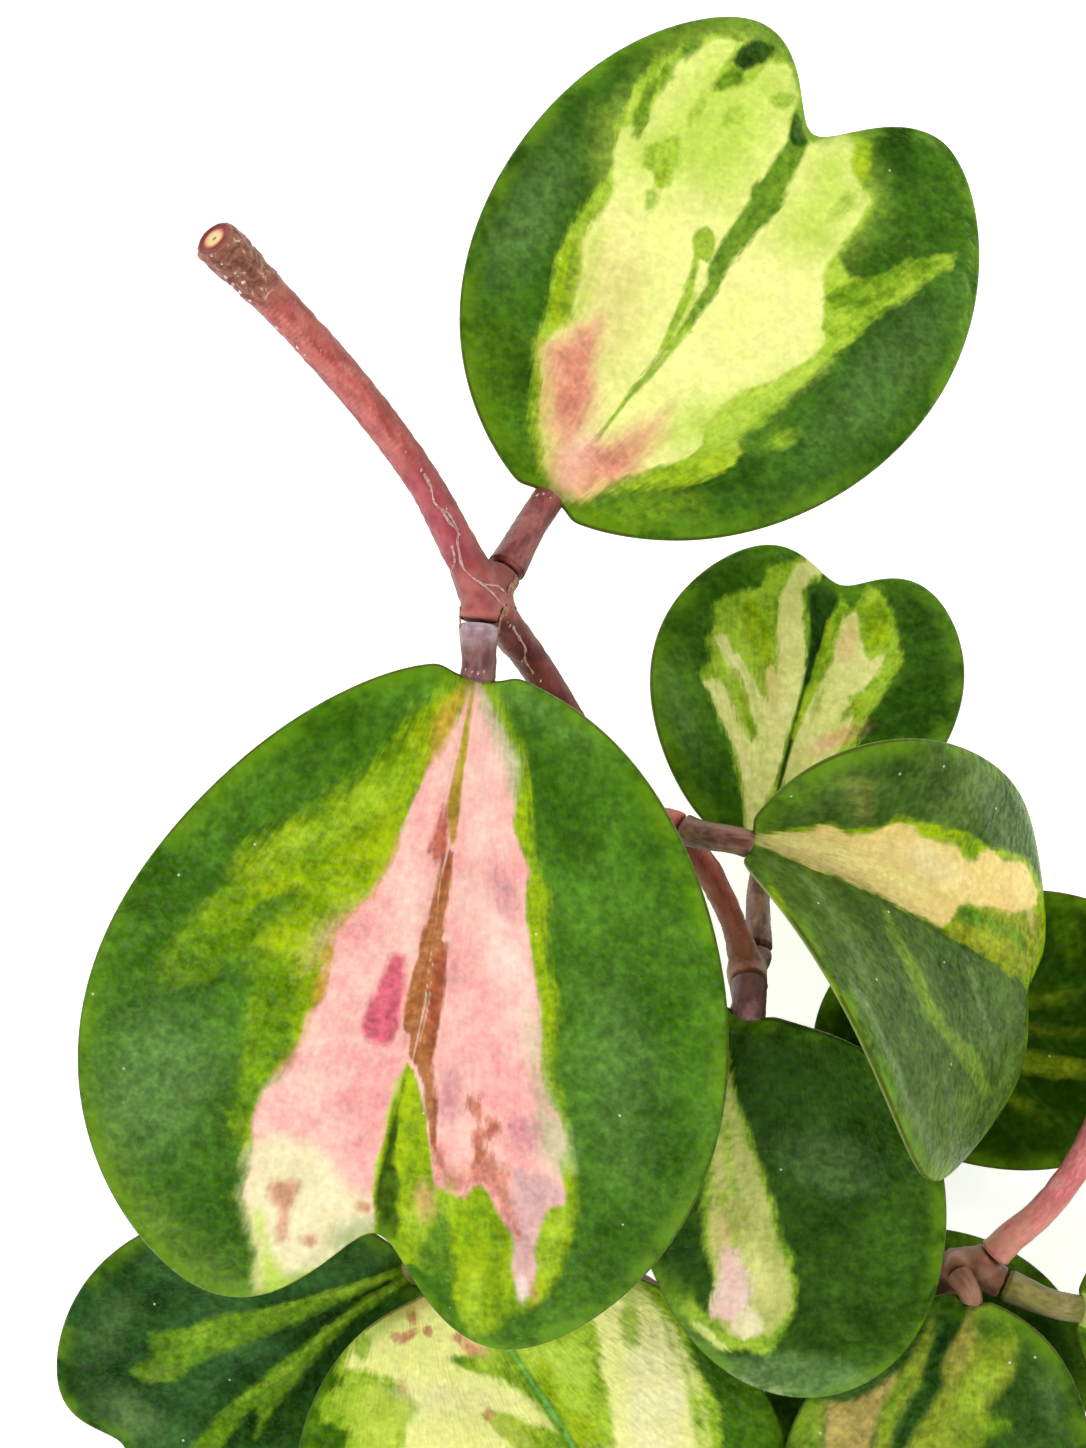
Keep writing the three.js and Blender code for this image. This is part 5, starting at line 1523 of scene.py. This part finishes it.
# %% Stem material
STEM_WASHES = (  # the field, its strength, and the dark and the light tone
    # painted highlight: a pale strip where the bark faces the light
    ("gleam", 0.4, (206, 124, 114), (226, 152, 144)),
    ("crimson", 0.8, (142, 52, 64), (178, 80, 90)),
    ("maroon", 0.95, (88, 34, 30), (124, 58, 52)),
    ("age", 0.7, (84, 54, 26), (112, 74, 42)),
    ("node", 0.8, (126, 86, 60), (164, 118, 90)),
    ("shade", 0.5, (118, 62, 42), (140, 78, 56)),
)
CUT_RINGS = (  # the distance from the axis as a share of the radius there, and the tone
    (0.0, (92, 86, 40)), (0.08, (150, 140, 84)), (0.14, (228, 206, 148)), (0.36, (220, 188, 128)),
    (0.46, (200, 122, 76)), (0.56, (140, 44, 38)), (0.8, (116, 38, 38)), (0.92, (176, 118, 88)))
CUT_RADIUS = 3.1


def add_rings(tree, share):
    """The cut face's tone at a share of its radius: a ramp through the ring tones."""
    made = add_node(tree, "ShaderNodeValToRGB", {0: share})
    stops = made.color_ramp.elements
    while len(stops) < len(CUT_RINGS):
        stops.new(0.5)
    for stop, (place, tone) in zip(stops, CUT_RINGS):
        stop.position = place
        stop.color = colour(*tone)
    return made.outputs[0]


def make_stem_material():
    """Streaky bark, then washes for the stem's places, its crust with flakes of sap, and the cut face."""
    material, tree, surface = new_material("bark")
    place = object_place(tree)
    skin = use_streaky_skin(tree, place, (180, 90, 82), (150, 66, 60), (206, 124, 112))
    tone = skin["Colour"]
    cloud = add_range(tree, add_noise(tree, place, 300, 3.0), 0.35, 0.65)
    for field, strength, dark, light in STEM_WASHES:
        wash = add_mix(tree, cloud, colour(*dark), colour(*light))
        tone = add_mix(tree, add_math(tree, "MULTIPLY", read_field(tree, field), strength), tone, wash)
    # painted shade on the stem's sides
    tone = darken_sides(tree, tone, read_field(tree, "up"))
    flakes = add_noise(tree, place, 620, 4.0, 0.65, 0.6)
    crust = read_field(tree, "crust")
    scaly = add_mix(tree, add_range(tree, flakes, 0.36, 0.64), colour(104, 56, 42), colour(160, 108, 82))
    tone = add_mix(tree, add_math(tree, "MULTIPLY", crust, 0.9), tone, scaly)
    dried = add_math(tree, "MULTIPLY", add_range(tree, crust, 0.3, 0.9), add_range(tree, flakes, 0.6, 0.68))
    white = add_math(tree, "MULTIPLY", dried, 0.8)
    tone = add_mix(tree, white, tone, colour(226, 204, 196))
    tone = add_mix(tree, read_field(tree, "face"), tone, add_rings(tree, read_field(tree, "ring")))
    rough = add_math(tree, "MULTIPLY_ADD", white, -0.2, skin["Roughness"])
    height = add_math(tree, "MULTIPLY_ADD", white, 0.6, skin["Height"])
    finish_surface(tree, surface, tone, rough, height, 0.5, 0.0004)
    return material


# %% [markdown]
# ## The stem as a piece
# The finished skin becomes the mesh, and the places become its fields. Heights and widths in millimetres
# say where along the photographed vine each colour of bark starts and ends.

# %% Stem piece
# painted highlight: bark that faces this way is paler
HIGHLIGHT_SIDE = unit(np.array([-0.4, -0.3, 0.87]))  # the way that the brightest strip of bark faces

stem = new_piece("woody_vine", stem_points, stem_faces, make_stem_material())
_, stem_y, stem_z = stem_points.T
from_first = np.linalg.norm(stem_points - np.array(NODE_1), axis=1)
from_last = np.linalg.norm(stem_points - np.array(RIGHT_NODE), axis=1)
highlight_facing = smooth((outward @ HIGHLIGHT_SIDE - 0.82) / 0.18)
add_fields(
    stem,
    growth=np.stack([outward[:, 0] * 1.3, travelled, outward[:, 2] * 1.3], -1),
    crimson=smooth((66 - stem_y) / 14) * smooth((stem_y - 37.5) / 1.5),
    maroon=smooth((38.5 - stem_y) / 1.5) * smooth((stem_y - 12) / 6),
    age=smooth((14 - stem_y) / 24) * smooth((40 - stem_z) / 10),
    node=near_node * smooth(from_first / 5) + smooth((8 - from_last) / 4) * (1 - near_node),
    shade=smooth(outward[:, 0]) * (1 - near_node) * (which == 0),
    # painted highlight on the upper runs, away from the nodes
    gleam=highlight_facing * (which < 2) * (1 - near_node),
    up=outward[:, 2], crust=crust, face=on_face, ring=from_axis / CUT_RADIUS)
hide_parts("vine_stem")
print("stem faces:", len(stem.data.polygons))

# %% [markdown]
# ## Dried sap and papery scales
# A hoya bleeds white sap where it is cut or bruised. It has dried in thin crooked threads down to the
# first node and past it, and in small beads. The node also keeps the papery scales of old buds. All of
# them are laid on the skin: a ray from the camera through a listed place finds the point of the stem or
# stalk there, so the list only needs two numbers for each place.

# %% Places of sap and scales
LIST_HEIGHT = 45.0  # the listed places are x and y in millimetres, on a level plane this high
SAP_THREADS = [
    [(-43.5, 57.7), (-42.5, 55.7), (-42.1, 53.8), (-41.1, 52.7), (-40.0, 51.0), (-38.8, 49.6),
     (-38.9, 48.4), (-38.6, 46.7), (-38.1, 44.8), (-36.6, 43.2), (-35.5, 42.4), (-34.2, 41.3),
     (-33.0, 39.8), (-32.1, 38.0)],
    [(-41.7, 53.1), (-40.3, 52.3), (-38.8, 49.9)],
    [(-39.6, 47.8), (-39.2, 45.7), (-39.6, 44.1)],
    [(-35.2, 42.3), (-33.4, 42.1), (-32.1, 41.0)],
    [(-31.3, 36.6), (-30.5, 35.2), (-29.5, 33.5), (-29.5, 31.9), (-28.4, 30.2)],
]
SAP_BEADS = [  # x, y and width
    (-67.6, 81.8, 0.45), (-68.2, 81.4, 0.4), (-69.0, 82.9, 0.6), (-70.0, 84.0, 0.45), (-70.9, 85.1, 0.5),
    (-71.5, 86.8, 0.4), (-68.5, 84.3, 0.6), (-69.6, 85.7, 0.5), (-72.9, 88.0, 0.35), (-66.0, 79.4, 0.4),
    (-63.9, 78.0, 0.4), (-61.0, 75.3, 0.45), (-60.0, 74.2, 0.3), (-57.8, 74.8, 0.3), (-53.8, 71.7, 0.3),
    (-52.9, 69.9, 0.25), (-56.4, 69.0, 0.2), (-43.9, 58.2, 0.35), (-43.1, 57.0, 0.4), (-42.5, 55.4, 0.35),
    (-42.2, 54.1, 0.4), (-40.4, 52.8, 0.3), (-38.6, 49.3, 0.3), (-46.1, 60.7, 0.25), (-34.6, 41.6, 0.3),
    (-32.5, 39.4, 0.4), (-33.0, 38.2, 0.35), (-31.9, 37.1, 0.3), (-31.6, 36.6, 0.4), (-30.3, 35.1, 0.35),
    (-29.4, 33.3, 0.3), (-29.8, 31.7, 0.4), (-28.4, 30.1, 0.35), (-27.3, 29.0, 0.3), (-37.7, 30.6, 0.3),
    (-36.8, 30.2, 0.4), (-36.0, 30.1, 0.45), (-35.2, 30.3, 0.35), (-28.8, 54.3, 0.35), (-27.8, 54.7, 0.4),
    (-26.9, 54.9, 0.35), (-26.0, 54.3, 0.3)]
SCALES = [
    [(-38.4, 36.6), (-38.5, 37.7), (-38.4, 39.1)],
    [(-30.9, 39.2), (-30.7, 41.3), (-30.7, 43.2)],
    [(-33.2, 35.5), (-33.0, 37.4), (-31.9, 39.4)],
]
print("threads:", len(SAP_THREADS), "beads:", len(SAP_BEADS), "scales:", len(SCALES))

# %% [markdown]
# ## Laying sap and scales on the skin
# A thread of sap and a papery scale are both a strip with an oval section that follows the skin. Its
# width along the way is a small function of the share of its length.

# %% Strips and drops on the skin
def skin_below(places):
    """Where the rays from the camera through the places meet the stem or a stalk, and the normals."""
    eye = EYE - SHIFT
    found = []
    for x, y in places:
        ray = unit(np.array([x, y, LIST_HEIGHT]) - eye)
        hit, normal, _, _ = outer_skin.ray_cast(Vector(eye.tolist()), Vector(ray.tolist()))
        if hit is None:
            hit, normal, _, _ = outer_skin.find_nearest(Vector((x, y, LIST_HEIGHT)))
        found.append((*hit, *normal))
    found = np.array(found)
    return found[:, :3], found[:, 3:]


def strip(line, half_width, half_thick, sides=12):
    """A strip with an oval cross-section laid along a line of places on the skin.

    Each row is an ellipse square to the line. Its short side lies along the skin's normal."""
    hits, normals = skin_below(line)
    knots = np.concatenate([hits, np.zeros((len(hits), 1))], 1)
    place, _ = through(knots, 0.25)
    share = np.linspace(0, 1, len(place))
    spots = np.linspace(0, 1, len(hits))
    up = unit(np.stack([np.interp(share, spots, normals[:, i]) for i in range(3)], -1))
    along = unit(np.gradient(place, axis=0))
    across = unit(np.cross(up, along))
    up = np.cross(along, across)
    wide, thick = half_width(share)[:, None], half_thick(share)[:, None]
    place = place + up * (0.6 * thick)
    rows = place[:, None] + circles(across * wide, up * thick, sides)
    return closed_grid(rows, place[0], place[-1])


def drops(places, sides=10, levels=5):
    """Drops of dried sap: one small ball, laid at each place and sized for it.

    A drop is half as thick, and one and a half times as long, as its listed width."""
    places = np.array(places)
    hits, normals = skin_below(places[:, :2])
    size = places[:, 2]
    first = unit(np.cross(normals, np.array([0.3, 1.0, 0.2])))
    second = np.cross(normals, first)
    tilt = (np.pi * (np.arange(levels) + 1) / (levels + 1))[:, None]
    x_axis, y_axis, z_axis = np.eye(3)
    ball = circles(np.sin(tilt) * x_axis, np.sin(tilt) * y_axis, sides) + (np.cos(tilt) * z_axis)[:, None]
    ball, faces = closed_grid(ball, z_axis, -z_axis)
    offsets = ball[None, :, 0, None] * first[:, None] + 1.5 * ball[None, :, 1, None] * second[:, None]
    offsets = (offsets + 0.5 * ball[None, :, 2, None] * normals[:, None]) * (0.5 * size)[:, None, None]
    points = (hits[:, None] + offsets).reshape(-1, 3)
    points = points + 0.1 * ripples(points, 0.6, 41)[:, None] * np.repeat(normals, len(ball), 0)
    numbered = [[i + k * len(ball) for i in face] for k in range(len(places)) for face in faces]
    return points, numbered


# %% [markdown]
# ## Sap and scales as pieces
# Dried sap is pinkish white, crumbly and a little see-through, and the scales are dry and brown. The
# skins of the stem and the stalks, as one tree of faces, are what the rays are cast on.

# %% Sap and scales
def thread_swell(share):
    """Half the width of a thread of sap, which swells and narrows like two sines multiplied."""
    return 0.17 + 0.09 * np.sin(share * 37) * np.sin(share * 11 + 1)


def thread_width(share):
    """The thread's half width, thinner at its lower end."""
    return thread_swell(share) * (1 - 0.7 * share**6)


def thread_thickness(share):
    """The thread stands up a little less than it is wide."""
    return 0.7 * thread_swell(share)


def scale_width(share):
    """A papery scale is widest in its middle, by half a sine."""
    return 0.15 + 0.75 * np.sin(np.pi * (0.12 + 0.8 * share))


def scale_thickness(share):
    """A papery scale is as thin all along."""
    return np.full_like(share, 0.12)


def make_crumbly_material(name, light, dark, rough, see_through):
    """Two tones mixed by a fine mottle, a little see-through, with a crumbly bump."""
    material, tree, surface = new_material(name)
    crumbs = add_noise(tree, object_place(tree), 1400, 3.0, 0.6)
    tone = add_mix(tree, add_range(tree, crumbs, 0.35, 0.65), colour(*dark), colour(*light))
    finish_surface(tree, surface, tone, rough, crumbs, 0.5, 0.0003)
    feed(tree, surface.inputs, {"Transmission Weight": see_through})
    return material


skins = [stem] + list(petioles.values())
skin_meshes = [(mesh_points(piece.data) - SHIFT, mesh_faces(piece.data)) for piece in skins]
skin_points, skin_faces = joined(skin_meshes)
outer_skin = BVHTree.FromPolygons(skin_points.tolist(), skin_faces)

sap_parts = [strip(line, thread_width, thread_thickness) for line in SAP_THREADS] + [drops(SAP_BEADS)]
sap_skin = make_crumbly_material("sap_crust", (238, 206, 200), (204, 152, 146), 0.25, 0.35)
dried_sap = new_piece("dried_sap", *joined(sap_parts), sap_skin)

scale_parts = [strip(line, scale_width, scale_thickness) for line in SCALES]
scale_skin = make_crumbly_material("dry_scale", (178, 130, 98), (112, 70, 50), 0.6, 0.0)
bud_scales = new_piece("bud_scales", *joined(scale_parts), scale_skin)
print("sap and scale faces:", len(dried_sap.data.polygons), len(bud_scales.data.polygons))

# %% [markdown]
# ## Floor
# The photograph has an even white ground. A pale sheet under the vine takes its soft shadows, and glows a
# little itself, because lamps alone would leave it grey and uneven.

# %% Floor
FLOOR_HALF = 1.5  # metres from the middle to each side
FLOOR_HEIGHT = -0.0002  # metres, just under the leaves' lowest points


def make_floor():
    """A square sheet three metres wide."""
    signs = ((-1, -1), (1, -1), (1, 1), (-1, 1))
    corners = [(x * FLOOR_HALF, y * FLOOR_HALF, FLOOR_HEIGHT) for x, y in signs]
    mesh = bpy.data.meshes.new("floor")
    mesh.from_pydata(corners, [], [(0, 1, 2, 3)])
    material, tree, surface = new_material("pale_floor")
    feed(tree, surface.inputs, {
        "Base Color": (0.93, 0.93, 0.925, 1), "Roughness": 0.9, "Specular IOR Level": 0.0,
        "Emission Color": (1, 1, 1, 1), "Emission Strength": 0.7})
    mesh.materials.append(material)
    floor = bpy.data.objects.new("floor", mesh)
    bpy.context.scene.collection.objects.link(floor)
    return floor


floor = make_floor()
print("floor width in metres:", 2 * FLOOR_HALF)

# %% [markdown]
# ## Light
# The light is soft and comes from all round, well to the side, so the waxy leaves keep deep greens. Only
# the two small key lamps are mirrored in the wax, where they give its few sharp glints. The four large
# fill lamps and the sky light the skin but aren't mirrored, because from straight above their reflection
# lies on every leaf as a grey veil. The sky is dim overhead and brighter towards the horizon.

# %% Light
def add_lamp(name, place, size, power, tall=None):
    """A soft lamp, square or a rectangle of another height, that faces the middle of the vine."""
    light = bpy.data.lights.new(name, "AREA")
    light.shape = "RECTANGLE"
    light.size = size
    light.size_y = tall or size
    light.energy = power
    lamp = bpy.data.objects.new(name, light)
    lamp.location = place
    out = unit(np.array(place, float))
    side = unit(np.cross([0.0, 0.0, 1.0], out))
    lamp.rotation_mode = "QUATERNION"
    up = np.cross(out, side)
    lamp.rotation_quaternion = Matrix(np.stack([side, up, out], 1).tolist()).to_quaternion()
    bpy.context.scene.collection.objects.link(lamp)
    return lamp


FILL_SIZE = 1.2
FILLS = (
    ("lamp_left", (-1.5, 0.1, 1.0), 15),
    ("lamp_right", (1.5, 0.1, 1.0), 11),
    ("lamp_near", (0.0, -1.5, 1.0), 12),
    ("lamp_far", (0.0, 1.5, 1.0), 12),
)

add_lamp("lamp_front_key", (-0.4, -0.92, 1.4), 1.1, 2.8, 0.35)
add_lamp("lamp_back_key", (1.05, 1.3, 1.3), 0.6, 1.6)
for name, place, power in FILLS:
    add_lamp(name, place, FILL_SIZE, power).visible_glossy = False

sky = bpy.data.worlds.new("sky")
sky.use_nodes = True
sky_tree = sky.node_tree
direction = add_node(sky_tree, "ShaderNodeTexCoord").outputs["Generated"]
height = add_node(sky_tree, "ShaderNodeSeparateXYZ", {0: direction}).outputs["Z"]
glow = add_range(sky_tree, height, 0.85, 0.3, 0.03, 0.7)
feed(sky_tree, sky_tree.nodes["Background"].inputs, {"Color": (1, 1, 1, 1), "Strength": glow})
bpy.context.scene.world = sky
sky.cycles_visibility.glossy = False
bpy.context.scene.view_settings.view_transform = "Standard"
bpy.context.scene.view_settings.look = "None"
